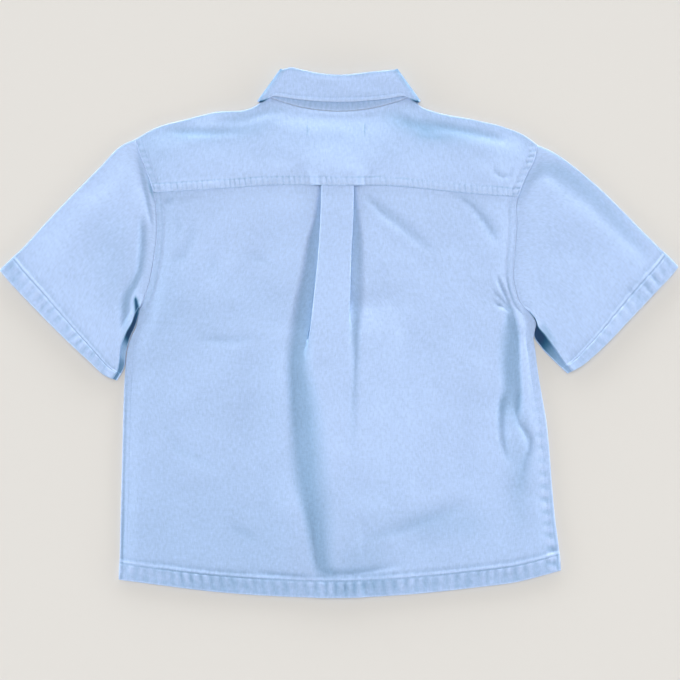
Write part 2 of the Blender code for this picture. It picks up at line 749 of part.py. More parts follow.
def collar_stand(finish, collection):
    columns = collar_columns(90 + STAND_OVERLAP)
    rows = []
    for share in (0.0, 0.33, 0.67, STAND_SHARE):
        row = []
        for low, high, out, kind in columns:
            place = low.lerp(high, share) + out * COLLAR_TURN
            if share == 0:
                place += (high - low).normalized() * GAP
            if kind[0] == "front" and kind[1] < 0:
                place.z += 2 * COLLAR_TURN * smooth((kind[2] - 0.72) / 0.16)
            row.append((*place, COLLAR))
        rows.append(row)
    return cloth("collar_stand", rows[::-1], finish, collection)


def collar_leaf(finish, collection):
    columns = collar_columns(90 - LEAF_OPENING)
    widest = max(kind[2] for *_, kind in columns if kind[0] == "front")
    paths = []
    for low, high, out, kind in columns:
        rise = (high - low).normalized()
        inner = out * COLLAR_TURN
        outer = out * LEAF_REACH
        edge = leaf_edge(kind, widest)
        if kind[0] == "front":
            outer = out * (COLLAR_MID_Z - COLLAR / 2)
        start = low.lerp(high, STAND_SHARE) + inner + rise * GAP * 3
        top = high - rise * (COLLAR_TURN + COLLAR / 2)
        centre = (inner + outer) / 2
        path = [start, top + inner]
        for angle in TURNS:
            swing = (outer - inner).length / 2
            path.append(top + centre - out * swing * math.sin(angle) + rise * swing * math.cos(angle))
        path.append(top + outer)
        below = Vector((*edge, COLLAR_MID_Z)) + outer
        path += [(top + outer).lerp(below, share) for share in (0.3, 0.6, 0.85, 1.0)]
        paths.append([(*point, COLLAR) for point in path])
    rows = [[path[k] for path in paths] for k in range(len(paths[0]))]
    return cloth("collar_leaf", rows, finish, collection)


def leaf_edge(kind, widest):
    """The leaf's free edge at a column, in plan."""
    where, sign, place = kind
    if where == "back":
        hook = smooth((place - 0.8) / 0.2)
        arch = LEAF_BACK_Y + LEAF_BACK_ARCH * min(place / 0.8, 1.0) ** 2
        return (sign * LEAF_SIDE[0] * place, mix(arch, LEAF_SIDE[1], hook))
    share = place / widest
    side, bulge, point = (np.array(p) for p in (LEAF_SIDE, LEAF_BULGE, LEAF_POINT))
    x, y = (1 - share) ** 2 * side + 2 * share * (1 - share) * bulge + share**2 * point
    return (sign * x, y)


# Buttons


def button_mesh():
    """A turned disc with a raised rim on its outer face, which looks down."""
    form = bmesh.new()
    points = [form.verts.new(Vector((x, 0, z)) * MM)
              for x, z in zip(BUTTON_PROFILE["radius"], BUTTON_PROFILE["height"])]
    for a, b in zip(points, points[1:]):
        form.edges.new((a, b))
    mesh = bpy.data.meshes.new("button")
    form.to_mesh(mesh)
    form.free()
    return mesh


def buttons(finish, collection):
    mesh = button_mesh()
    mesh.materials.append(finish)
    places = [STAND_BUTTON_Y] + [FIRST_BUTTON_Y - BUTTON_PITCH * i for i in range(BUTTON_COUNT - 1)]
    for number, y in enumerate(places, 1):
        button = bpy.data.objects.new(f"button_{number}", mesh)
        collection.objects.link(button)
        button.location = Vector((0, y, 0)) * MM
        turned = button.modifiers.new("Turned", "SCREW")
        turned.steps = turned.render_steps = 16
        turned.use_merge_vertices = True
        turned.merge_threshold = 0.00001
        turned.use_smooth_shade = True


def main():
    for leftover in list(bpy.data.objects):
        bpy.data.objects.remove(leftover, do_unlink=True)
    collection = bpy.data.collections.new("Denim shirt")
    bpy.context.scene.collection.children.link(collection)
    denim = material("washed denim", (0.47, 0.64, 0.94), 0.9)
    collar_denim = material("washed collar denim", (0.45, 0.61, 0.92), 0.9)
    horn = material("button resin", (0.62, 0.72, 0.86), 0.35)
    front("right", denim, collection)
    front("left", denim, collection)
    back_panel(denim, collection)
    yoke(denim, collection)
    for side in ("left", "right"):
        sleeve(side, denim, collection)
    collar_stand(collar_denim, collection)
    collar_leaf(collar_denim, collection)
    buttons(horn, collection)


main()
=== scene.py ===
"""Looks of the denim shirt, laid flat with its back up.

Sizes are in millimetres, as in the solids' source, and turned into metres when a mesh is made.
Each piece of cloth is a closed shell round a fine grid of its middle surface. Stitches are seated
on the finished shells.
"""

import math

import bmesh
import bpy
import numpy as np
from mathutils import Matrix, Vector
from mathutils.bvhtree import BVHTree


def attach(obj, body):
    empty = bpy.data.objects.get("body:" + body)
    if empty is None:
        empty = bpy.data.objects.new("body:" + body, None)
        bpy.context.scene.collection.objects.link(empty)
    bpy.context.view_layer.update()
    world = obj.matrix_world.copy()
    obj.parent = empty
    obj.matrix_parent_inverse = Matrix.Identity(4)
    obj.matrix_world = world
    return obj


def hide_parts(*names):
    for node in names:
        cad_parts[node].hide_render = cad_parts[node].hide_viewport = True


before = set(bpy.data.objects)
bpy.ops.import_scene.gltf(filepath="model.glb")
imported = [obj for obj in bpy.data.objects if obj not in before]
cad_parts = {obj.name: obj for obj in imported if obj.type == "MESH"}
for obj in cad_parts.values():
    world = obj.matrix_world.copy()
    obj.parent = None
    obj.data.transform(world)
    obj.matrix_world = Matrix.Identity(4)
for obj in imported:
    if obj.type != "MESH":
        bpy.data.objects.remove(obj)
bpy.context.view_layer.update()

MM = 0.001

# Walls and seams: the cloth single, doubled and in the collar, the gaps between pieces, the depth of
# felled seams and hems, the length of a step from single to double, and the rows of stitches' places
CLOTH, DOUBLE, COLLAR = 1.2, 1.8, 1.6
GAP, SEAM_GAP = 0.3, 0.12
TURN = (CLOTH + GAP) / 2
FELL, HEM, CUFF_HEM = 9.0, 22.0, 23.5
STEP = 1.5
HEM_ROW, SIDE_ROW, FELL_ROWS = 2.0, 8.6, (1.8, 7.4)

# Buttons and plackets
BUTTON_HEIGHT = 2.0
BUTTON_YS = [214.0] + [178.0 - 72.0 * i for i in range(6)]
LIFT = BUTTON_HEIGHT + GAP
PLACKET = 34.0
PLACKET_SLOPE = 14.0
PLACKET_END = -285.0
PLACKET_END_SLOPE = 45.0
POINTS_Y = 250.0
POINTS_REACH = (159.0, 135.0)
POINTS_SLOPE = 0.19
PLACKET_CLEAR = PLACKET / 2 + 7.0
BACK_SLOPE = 12.0
BACK_SPARE = 4.0
NECK_BACK_Y = 262.0

# Neckline and collar
NECK_HALF = 86.0
NECK_SIDE_Y = 283.5
NECK_BACK_DROP = 17.5
NECK_FRONT_DROP = 83.5
COLLAR_TOP_HALF = 67.0
COLLAR_TOP_SIDE_Y = 315.8
COLLAR_TOP_FRONT_DROP = 85.0
STAND_SHARE = 0.86
STAND_OVERLAP = 8.0
LEAF_OPENING = 3.5
COLLAR_TURN = (COLLAR + GAP) / 2
COLLAR_MID_Z = LIFT + COLLAR / 2 + COLLAR_TURN
LEAF_REACH = 3 * COLLAR_TURN
COLLAR_TOP_YS = ((-1, 315.8), (-0.85, 318.6), (-0.7, 316.4), (-0.3, 311.2), (0.05, 309.8),
                 (0.4, 312), (0.7, 314.2), (1, 315.8))
LEAF_SIDE = (95.0, 276.5)
LEAF_BACK_Y = 277.0
LEAF_BACK_ARCH = 7.0
LEAF_POINT = (52.0, 172.0)
LEAF_BULGE = (90.0, 222.0)
FORWARD_SEAM_NECK_Y = 253.0
FORWARD_SEAM_ROW = 3  # of YOKE_ROWS, where the forward seam meets the armhole
PIT_ROW = 9  # of BODY_ROWS, at the armpit


def smooth(value):
    value = np.clip(value, 0.0, 1.0)
    return value * value * (3 - 2 * value)


def mix(a, b, share):
    return a + (b - a) * share


def bell(distance, width):
    return np.exp(-((distance / width) ** 2))


def flow(where, keys, values):
    """Values read along a smooth curve through rising keys."""
    keys, values = np.asarray(keys, float), np.asarray(values, float)
    slopes = np.gradient(values, keys)
    where = np.clip(where, keys[0], keys[-1])
    i = np.clip(np.searchsorted(keys, where, side="right") - 1, 0, len(keys) - 2)
    span = keys[i + 1] - keys[i]
    t = (where - keys[i]) / span
    ease = t * t * (3 - 2 * t)
    bend = t * (1 - t) ** 2 * slopes[i] - t * t * (1 - t) * slopes[i + 1]
    return mix(values[i], values[i + 1], ease) + bend * span


class Table:
    """Short rows of numbers under named columns, which can be read between its rows."""

    def __init__(self, columns, *rows):
        self.column = dict(zip(columns.split(), np.array(rows, float).T))
        self.key = next(iter(self.column.values()))

    def __getitem__(self, name):
        return self.column[name]

    def at(self, name, where):
        """A column, where the first column has the given values."""
        order = np.argsort(self.key)
        return flow(where, self.key[order], self.column[name][order])

    def along(self, share):
        """Points (..., 2) of the x and y columns at shares of the length of their curve."""
        steps = np.hypot(np.diff(self["x"]), np.diff(self["y"]))
        reach = np.concatenate([[0.0], np.cumsum(steps)])
        place = np.asarray(share, float) * reach[-1]
        return np.stack([flow(place, reach, self["x"]), flow(place, reach, self["y"])], -1)


# Ends of the rows across the yoke, from the seam up to the shoulder fold
YOKE_ROWS = Table(
    "left_x left_y right_x right_y",
    (-222, 168.5, 214.5, 163.5),
    (-225, 178, 220.5, 179.5),
    (-228.5, 188, 225.5, 191),
    (-234.5, 204, 232, 203),
    (-240, 219, 236, 214),
    (-244, 233, 238, 226),
)

# Ends of the rows across the body, from the yoke seam down the armholes and sides to the hem
BODY_ROWS = Table(
    "left_x left_y right_x right_y",
    (-222, 168.5, 214.5, 163.5),
    (-220.5, 155, 212.5, 153),
    (-219, 138, 213, 136),
    (-219, 120, 212.5, 118),
    (-220.5, 102, 211, 99),
    (-223.5, 82, 209.5, 81),
    (-227, 64, 209.5, 65),
    (-231.5, 48, 212.5, 50),
    (-236, 36, 217, 37),
    (-239.6, 26, 229.5, 24.5),
    (-243.4, 8, 236.2, 12),
    (-249.5, -5, 233.2, -4),
    (-254, -22, 235.5, -22),
    (-256.5, -46, 238.5, -46),
    (-258, -76, 243.5, -76),
    (-259, -110, 249, -108),
    (-260, -150, 252.5, -145),
    (-261, -190, 255.5, -185),
    (-262, -230, 259, -222),
    (-263, -271.5, 264, -260.5),
    (-264, -295, 266, -284),
)

# How far the yoke seam and the hem bow away from a straight line between their ends
BOW = Table(
    "share seam hem",
    (0, 0, 0),
    (0.10, 3, -8.1),
    (0.20, 6.2, -15.8),
    (0.35, 10.6, -23.5),
    (0.50, 10.4, -27.3),
    (0.65, 10.8, -25.1),
    (0.80, 5.6, -18.6),
    (0.90, 2, -12.7),
    (1, 0, 0),
)

# Fold line along the shoulders, left and right of the neck
SHOULDERS = {
    "left": Table("x y", (-244, 233), (-221, 246), (-186, 256), (-150, 265), (-100, 272.5),
                  (-86, 282.1)),
    "right": Table("x y", (86, 282.1), (98, 272), (112, 266.5), (163, 256), (199, 247),
                   (224, 236.5), (238, 226)),
}

# Box pleat: its two edges on top, how far the cloth turns under at each edge, and how deep it goes
PLEAT = Table(
    "y left right left_turn right_turn depth",
    (195, -21, 18, 180, 180, 14),
    (135, -22.6, 17, 180, 180, 12),
    (98, -24.8, 15, 180, 180, 9),
    (55, -29, 13.6, 180, 175, 5),
    (16, -33.2, 12.8, 150, 130, 2),
    (-43, -41, 12, 95, 45, 0.8),
    (-100, -40, 11, 60, 20, 1.5),
    (-143, -31, 10, 45, 12, 2.5),
    (-236, -22, 9, 22, 8, 5),
    (-320, -20, 9, 8, 6, 7),
)

# Sleeves: the outline from the shoulder to the cuff, from the armpit to the cuff, and along the
# cuff. `inset` is how far in from the underarm outline the upper layer's edge lies, and `inside`
# holds the painted shade of the cloth that shows beside it, down in the gap under that edge.
SLEEVES = {
    "left": {
        "top": Table("x y", (-244, 233), (-258, 227), (-287, 199), (-316, 170), (-344, 141),
                     (-379, 103), (-400, 83), (-407, 76)),
        "under": Table("x y", (-240.6, 25.8), (-244.3, 9), (-250.4, -5), (-255, -22),
                       (-257.6, -41), (-266, -56.5)),
        "cuff": Table("x y", (-407, 76), (-397, 64), (-379, 45), (-342, 7), (-301, -32),
                      (-279, -51), (-266, -56.5)),
        "inset": Table("share inset", (0, 4), (0.06, 10), (0.12, 9.5), (0.25, 6.5), (0.4, 6.5),
                       (0.6, 8), (0.8, 7), (0.93, 4.5), (1, 5)),
        "inside": Table("share worn", (0, -0.3), (0.08, -0.8), (0.2, -1), (0.4, -1), (0.48, -0.6),
                        (0.58, -0.36), (0.66, -0.34), (0.75, -0.52), (1, -0.55)),
    },
    "right": {
        "top": Table("x y", (238, 226), (256, 218), (283, 199), (317, 170), (346, 141),
                     (384, 103), (400, 88), (407, 80)),
        "under": Table("x y", (230.4, 24.8), (234.8, 18.5), (237.2, 12), (236, 4.5), (234.6, -4),
                       (241.5, -15.5), (256.5, -31.5), (274, -48)),
        "cuff": Table("x y", (407, 80), (401, 72), (385, 55), (348, 16), (311, -22), (289, -40),
                      (274, -48)),
        "inset": Table("share inset", (0, 2), (0.12, 4), (0.25, 9), (0.4, 13), (0.55, 13),
                       (0.75, 9.5), (0.9, 6.5), (1, 5)),
        "inside": Table("share worn", (0, -0.7), (0.08, -1), (0.46, -1), (0.54, -0.8), (0.62, -0.58),
                        (0.74, -0.44), (0.86, -0.36), (1, -0.3)),
    },
}


# Edges of the body


BODY_EDGES = {side: [np.concatenate([BODY_ROWS[side + axis][::-1], YOKE_ROWS[side + axis][1:]])
                     for axis in ("_y", "_x")] for side in ("left", "right")}


def side_x(side, y):
    return flow(y, *BODY_EDGES[side])


def from_sides(x, y):
    """Distance in from the nearer side of the body."""
    return np.minimum(x - side_x("left", y), side_x("right", y) - x)


def row_y(rows, row, bow, x):
    """Height in plan of a bowed row, at x."""
    left, right = rows["left_x"][row], rows["right_x"][row]
    share = (x - left) / (right - left)
    return mix(rows["left_y"][row], rows["right_y"][row], share) + BOW.at(bow, share)


def seam_y(x):
    return row_y(YOKE_ROWS, 0, "seam", x)


def hem_y(x):
    return row_y(BODY_ROWS, -1, "hem", x)


def neck_back_y(x):
    return NECK_SIDE_Y - NECK_BACK_DROP * (1 - (x / NECK_HALF) ** 2)


def neck_front_y(x):
    return NECK_SIDE_Y - NECK_FRONT_DROP * np.sqrt(np.maximum(0.0, 1 - (x / NECK_HALF) ** 2))


def neck_front_x(y):
    share = (NECK_SIDE_Y - y) / NECK_FRONT_DROP
    return NECK_HALF * np.sqrt(np.maximum(0.0, 1 - share**2))


# Heights that the layers lie on


def from_points(x, y, spare=0.0):
    """Distance from the collar's middle, where 1 is at its points."""
    across, down = POINTS_REACH
    return np.hypot(x / (across + spare), (y - POINTS_Y) / (down + spare))


def lift(x, y, spare=0.0):
    """How far the fronts are held up by the buttons and the collar."""
    on_placket = smooth((PLACKET / 2 + 2 * spare + PLACKET_SLOPE - np.abs(x)) / (PLACKET_SLOPE + spare))
    on_placket = on_placket * smooth((y + spare - PLACKET_END) / PLACKET_END_SLOPE)
    return LIFT * np.maximum(on_placket, smooth((1 - from_points(x, y, spare)) / POINTS_SLOPE))


def hem_band(x, y, spare=0.0):
    return smooth((hem_y(x) + HEM + STEP / 2 + spare - y) / STEP)


def second_placket(x, y):
    beside = smooth((PLACKET_CLEAR - np.abs(x)) / BACK_SLOPE + 1)
    return beside * smooth((NECK_BACK_Y - y) / BACK_SLOPE / 2)


def fronts_top(x, y):
    """Height of the buttoned fronts' upper face."""
    over = lift(x, y, BACK_SPARE)
    second = second_placket(x, y)
    single = mix(CLOTH, DOUBLE, np.maximum(np.maximum(hem_band(x, y, STEP), over / LIFT), second))
    return single + (DOUBLE + GAP) * second + over


# Unevenness of cloth

SHADE_PER_MM = 0.06  # painted shade in troughs and painted highlight on ridges, per mm of their height

# Distances between the puckers along each kind of seam
HEM_PITCH, FELL_PITCH, SIDE_PITCH, BAND_PITCH, STAND_PITCH, LEAF_PITCH = 12.0, 7.4, 15.0, 6.4, 6.6, 7.0

SEEDS = {"back": 11, "yoke": 21, "hem": 31, "back fell": 41, "yoke fell": 42, "sleeve": 51, "cuff left": 55,
         "cuff right": 56, "yoke band": 61, "side seam": 71, "front": 81, "stand": 92, "leaf": 93,
         "leaf edge": 95}


def wander(along, spacing, seed):
    """Smooth random values between -1 and 1 along a line."""
    values = np.random.default_rng(seed).uniform(-1, 1, 512)
    place = np.asarray(along) / spacing + 200
    i = np.floor(place).astype(int)
    return mix(values[i % 512], values[(i + 1) % 512], smooth(place - i))


def rumple(x, y, spacing, seed):
    """Smooth random values between -1 and 1 over a plane."""
    values = np.random.default_rng(seed).uniform(-1, 1, (256, 256))
    place_x, place_y = np.asarray(x) / spacing + 100, np.asarray(y) / spacing + 100
    i, j = np.floor(place_x).astype(int), np.floor(place_y).astype(int)
    s, t = smooth(place_x - i), smooth(place_y - j)
    low = mix(values[i % 256, j % 256], values[(i + 1) % 256, j % 256], s)
    high = mix(values[i % 256, (j + 1) % 256], values[(i + 1) % 256, (j + 1) % 256], s)
    return mix(low, high, t)


def waves(x, y, seed, broad, middling):
    """Slow waves and fine dents of cloth. Each of the slow ones is given as its height and spacing."""
    slow = broad[0] * rumple(x, y, broad[1], seed) + middling[0] * rumple(x, y, middling[1], seed + 1)
    return slow, 0.12 * rumple(x, y, 7.5, seed + 2) + 0.05 * rumple(x, y, 3.6, seed + 3)


def shape_shade(folds, slow, fine):
    """Painted shade and highlight for the cloth's shape: darker in troughs, paler on ridges and bumps."""
    return SHADE_PER_MM * folds + 0.012 * slow + 0.05 * fine


def puckers(along, across, pitch, slant, seed):
    """Ridges between -1 and 1 where thread draws a seam in, uneven in spacing and strength."""
    place = along + slant * across + 0.22 * pitch * wander(along, 2.3 * pitch, seed)
    strength = 0.68 + 0.32 * wander(along, 1.7 * pitch, seed + 1)
    return np.sin(2 * np.pi * place / pitch) * strength


class Crease:
    """A trough or ridge along a line of points: x, y, its half width on each side, its height.

    A point with four numbers is as wide on one side as on the other.
    """

    def __init__(self, points):
        points = [point if len(point) == 5 else (*point[:3], *point[2:]) for point in points]
        self.points = np.array(points, float)

    def read(self, x, y):
        """Its height at each place."""
        nearest = np.full(np.shape(x), np.inf)
        height = np.zeros(np.shape(x))
        for start, end in zip(self.points, self.points[1:]):
            way = end[:2] - start[:2]
            reach = np.hypot(*way)
            share = np.clip(((x - start[0]) * way[0] + (y - start[1]) * way[1]) / reach**2, 0, 1)
            off_x, off_y = x - start[0] - way[0] * share, y - start[1] - way[1] * share
            off = np.hypot(off_x, off_y)
            on_left = (way[0] * off_y - way[1] * off_x) > 0
            width = np.where(on_left, mix(start[2], end[2], share), mix(start[3], end[3], share))
            here = mix(start[4], end[4], share) * bell(off, width)
            height = np.where(off < nearest, here, height)
            nearest = np.minimum(nearest, off)
        return height


def creases(*lines):
    return [Crease(line) for line in lines]


def sum_of(folds, x, y):
    return sum((fold.read(x, y) for fold in folds), np.zeros(np.shape(x)))


# Shells


class Shell:
    """A closed shell of cloth round a grid of middle points, with rounded edges.

    Every vertex carries a tone from -1 deep blue to 1 almost white: paler where the cloth is
    rubbed, and painted shade and painted highlight that stand in for light on its shape. It also
    carries the place on the cloth that its weave is drawn from.
    """

    def __init__(self, points, wall, worn=0.0, there=None, ring=False, edge_worn=0.12):
        rows, columns = points.shape[:2]
        wall = np.broadcast_to(wall, (rows, columns)).reshape(-1, 1)
        worn = np.broadcast_to(worn, (rows, columns)).reshape(-1)
        there = np.ones((rows, columns), bool) if there is None else there
        if ring:
            across = np.roll(points, -1, 1) - np.roll(points, 1, 1)
        else:
            across = np.gradient(points, axis=1)
        normal = np.cross(across, np.gradient(points, axis=0))
        normal /= np.maximum(np.linalg.norm(normal, axis=2, keepdims=True), 1e-9)
        grain = np.stack([self.reach(points, 1), self.reach(points, 0)], -1).reshape(-1, 2)
        flat, normal = points.reshape(-1, 3), normal.reshape(-1, 3)

        index = np.arange(rows * columns).reshape(rows, columns)
        right = np.roll(index, -1, 1) if ring else index[:, 1:]
        left = index if ring else index[:, :-1]
        quads = np.stack([left[:-1], right[:-1], right[1:], left[1:]], -1).reshape(-1, 4)
        quads = quads[there.reshape(-1)[quads].all(1)]

        count = rows * columns
        edges = np.concatenate([quads[:, [k, (k + 1) % 4]] for k in range(4)])
        code, back = edges[:, 0] * count + edges[:, 1], edges[:, 1] * count + edges[:, 0]
        edges = edges[~np.isin(code, back)]
        outward = np.zeros((count, 3))
        away = np.cross(flat[edges[:, 1]] - flat[edges[:, 0]], normal[edges[:, 0]])
        for end in (0, 1):
            np.add.at(outward, edges[:, end], away)
        length = np.linalg.norm(outward, axis=1, keepdims=True)
        outward /= np.maximum(length, 1e-9)
        on_edge = length > 1e-9
        slim = np.where(on_edge, 0.4, 0.5)
        drawn_in = flat - outward * wall * np.where(on_edge, 0.16, 0.0)
        upper, lower = drawn_in + normal * wall * slim, drawn_in - normal * wall * slim

        a, b = edges[:, 0], edges[:, 1]
        rims = [np.stack([b, a, a + 2 * count, b + 2 * count], -1),
                np.stack([b + 2 * count, a + 2 * count, a + count, b + count], -1)]
        self.quads = np.concatenate([quads, quads[:, ::-1] + count, *rims])
        self.vertices = np.concatenate([upper, lower, flat])
        worn = worn + np.where(on_edge[:, 0], edge_worn, 0.0)
        self.worn = np.tile(worn, 3)
        self.grain = np.tile(grain, (3, 1))
        used, self.quads = np.unique(self.quads, return_inverse=True)
        self.quads = self.quads.reshape(-1, 4)
        self.vertices, self.worn, self.grain = self.vertices[used], self.worn[used], self.grain[used]

    @staticmethod
    def reach(points, axis):
        """Lengths along the cloth from the middle of the grid."""
        steps = np.linalg.norm(np.diff(points, axis=axis), axis=2)
        reach = np.concatenate([np.zeros_like(np.take(steps, [0], axis)), np.cumsum(steps, axis)], axis)
        return reach - np.take(reach, [reach.shape[axis] // 2], axis)

    def seat(self):
        return BVHTree.FromPolygons(self.vertices.tolist(), self.quads.tolist())


def placed(name, data):
    """An object in the scene."""
    made = bpy.data.objects.new(name, data)
    bpy.context.scene.collection.objects.link(made)
    return made


def make_object(name, vertices, faces, finish):
    """A smooth object from arrays of vertices in millimetres and faces of one size."""
    mesh = bpy.data.meshes.new(name)
    mesh.vertices.add(len(vertices))
    mesh.vertices.foreach_set("co", (np.asarray(vertices) * MM).astype(np.float32).ravel())
    corners = faces.shape[1]
    mesh.loops.add(faces.size)
    mesh.loops.foreach_set("vertex_index", faces.astype(np.int32).ravel())
    mesh.polygons.add(len(faces))
    mesh.polygons.foreach_set("loop_start", np.arange(0, faces.size, corners, dtype=np.int32))
    mesh.polygons.foreach_set("use_smooth", np.ones(len(faces), bool))
    mesh.update(calc_edges=True)
    mesh.validate()
    mesh.materials.append(finish)
    return placed(name, mesh)


def carry(piece, slot, *nodes):
    """Let a piece ride on the shirt, in place of the named solids. Its slot is not used."""
    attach(piece, "root")
    if nodes:
        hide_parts(*nodes)


seats = {}
rows_of_stitches = {}  # lines in plan, by the node that they are sewn on and the side that shows


def cloth_piece(node, shell, finish, slot):
    """Make a shell's object in place of its solid, and say what it was cut from."""
    piece = make_object(f"{node}_cloth", shell.vertices, shell.quads, finish)
    worn = piece.data.attributes.new("worn", "FLOAT", "POINT")
    worn.data.foreach_set("value", shell.worn.astype(np.float32))
    grain = piece.data.attributes.new("grain", "FLOAT_VECTOR", "POINT")
    spread = np.concatenate([shell.grain * MM, np.zeros((len(shell.grain), 1))], 1)
    grain.data.foreach_set("vector", spread.astype(np.float32).ravel())
    carry(piece, slot, node)
    seats[node] = shell.seat()
    return piece


# The back

PLEAT_RISE = 3.3  # of the pleat's top over the cloth beside it
PLEAT_FADE = {"left": (20, -36), "right": (52, -6)}  # down which its edges soften away
FADED_TURN, FADED_DEPTH, FADED_RISE = 2.5, 0.3, 0.2  # what is left of them there

# Troughs beside the pleat's two edges: the boundary away from the pleat, the one towards it, how
# softly the cloth goes down at each, and the depth. Higher up the near boundary is under the
# pleat's sharp fold, and lower down the trough runs over what was the pleat.

PLEAT_TROUGHS = {
    "left": Table(
        "y far far_soft near near_soft depth",
        (180, -23.4, 2, 0, 5, 1.2),
        (158, -25.4, 2.6, 0, 5, 2),
        (135, -29.5, 4, 0, 5, 2.6),
        (112, -36, 6, 0, 5, 2.8),
        (76, -42, 9, 0, 8, 3),
        (40, -49.5, 11, -10, 10, 3.2),
        (4, -55.5, 15, -29, 12, 3.4),
        (-32, -60, 13, -36.5, 17, 3.4),
        (-80, -59, 11, -28, 26, 3.4),
        (-128, -56, 16, -22, 28, 3.4),
        (-176, -51, 20, -19.5, 34, 3.5),
        (-224, -40.5, 12, -14.5, 32, 3.4),
        (-260, -33, 14, -12, 22, 3),
        (-278, -30, 12, -9, 20, 2.7),
        (-292, -26, 12, -3, 20, 1.2),
        (-302, -24, 14, -2, 20, 0),
    ),
    "right": Table(
        "y far far_soft near near_soft depth",
        (180, 19.2, 2, -8, 5, 1.2),
        (158, 21, 2.6, -8, 5, 1.7),
        (135, 24, 4.2, -8, 5, 2),
        (112, 26.5, 7, -8, 5, 2.1),
        (76, 27, 8, 0, 8, 1.9),
        (40, 26.5, 10, 12, 10, 2),
        (4, 24.5, 8, 14, 12, 2.4),
        (-32, 24, 9, 16, 9, 1.9),
        (-80, 22, 9, 14, 9, 1.1),
        (-128, 21, 10, 13, 10, 0.4),
        (-170, 21, 10, 13, 10, 0),
    ),
}
# Painted shade in the troughs beside the pleat, per mm of their depth
TROUGH_SHADE = {"left": 0.095, "right": 0.1}

# Broad trough down from the right armpit
PIT_TROUGH = Table(
    "y far far_soft near near_soft depth",
    (40, 203, 4, 206, 3, 0),
    (30, 201, 5, 208, 3, 1.4),
    (18, 199.5, 8, 212.5, 3.5, 2.8),
    (4, 198, 19, 216, 4.5, 3.3),
    (-20, 195, 19, 217, 5, 3.3),
    (-44, 195.5, 17, 218, 6, 3.2),
    (-68, 196, 13, 219.5, 6, 2.9),
    (-86, 191, 9, 219, 8, 1.8),
    (-102, 190, 9, 214, 10, 0.7),
    (-118, 190, 9, 206, 12, 0),
)
# Painted shade in the armpit trough, per mm of its depth
PIT_TROUGH_SHADE = 0.1


def trough_depth(trough, sign, x, y):
    """Depth of a trough. The sign is the way from its far boundary to its near one."""
    far, far_soft, near, near_soft, depth = (
        trough.at(name, y) for name in ("far", "far_soft", "near", "near_soft", "depth"))
    within_far = smooth(sign * (x - far) / far_soft + 0.5)
    return depth * within_far * smooth(sign * (near - x) / near_soft + 0.5)


def along_pleat(side, y):
    """1 where the pleat's edge is sharp, down to 0 where it has softened away."""
    start, end = PLEAT_FADE[side]
    return smooth((y - end) / (start - end))


def back_troughs(x, y, on_pleat):
    """Depth of the broad troughs, which run under the pleat, and the painted shade in them."""
    depth = trough_depth(PIT_TROUGH, 1, x, y)
    worn = PIT_TROUGH_SHADE * depth
    for side, sign in (("left", 1), ("right", -1)):
        here = trough_depth(PLEAT_TROUGHS[side], sign, x, y) * (1 - on_pleat * along_pleat(side, y))
        depth, worn = depth + here, worn + TROUGH_SHADE[side] * here
    return depth, worn


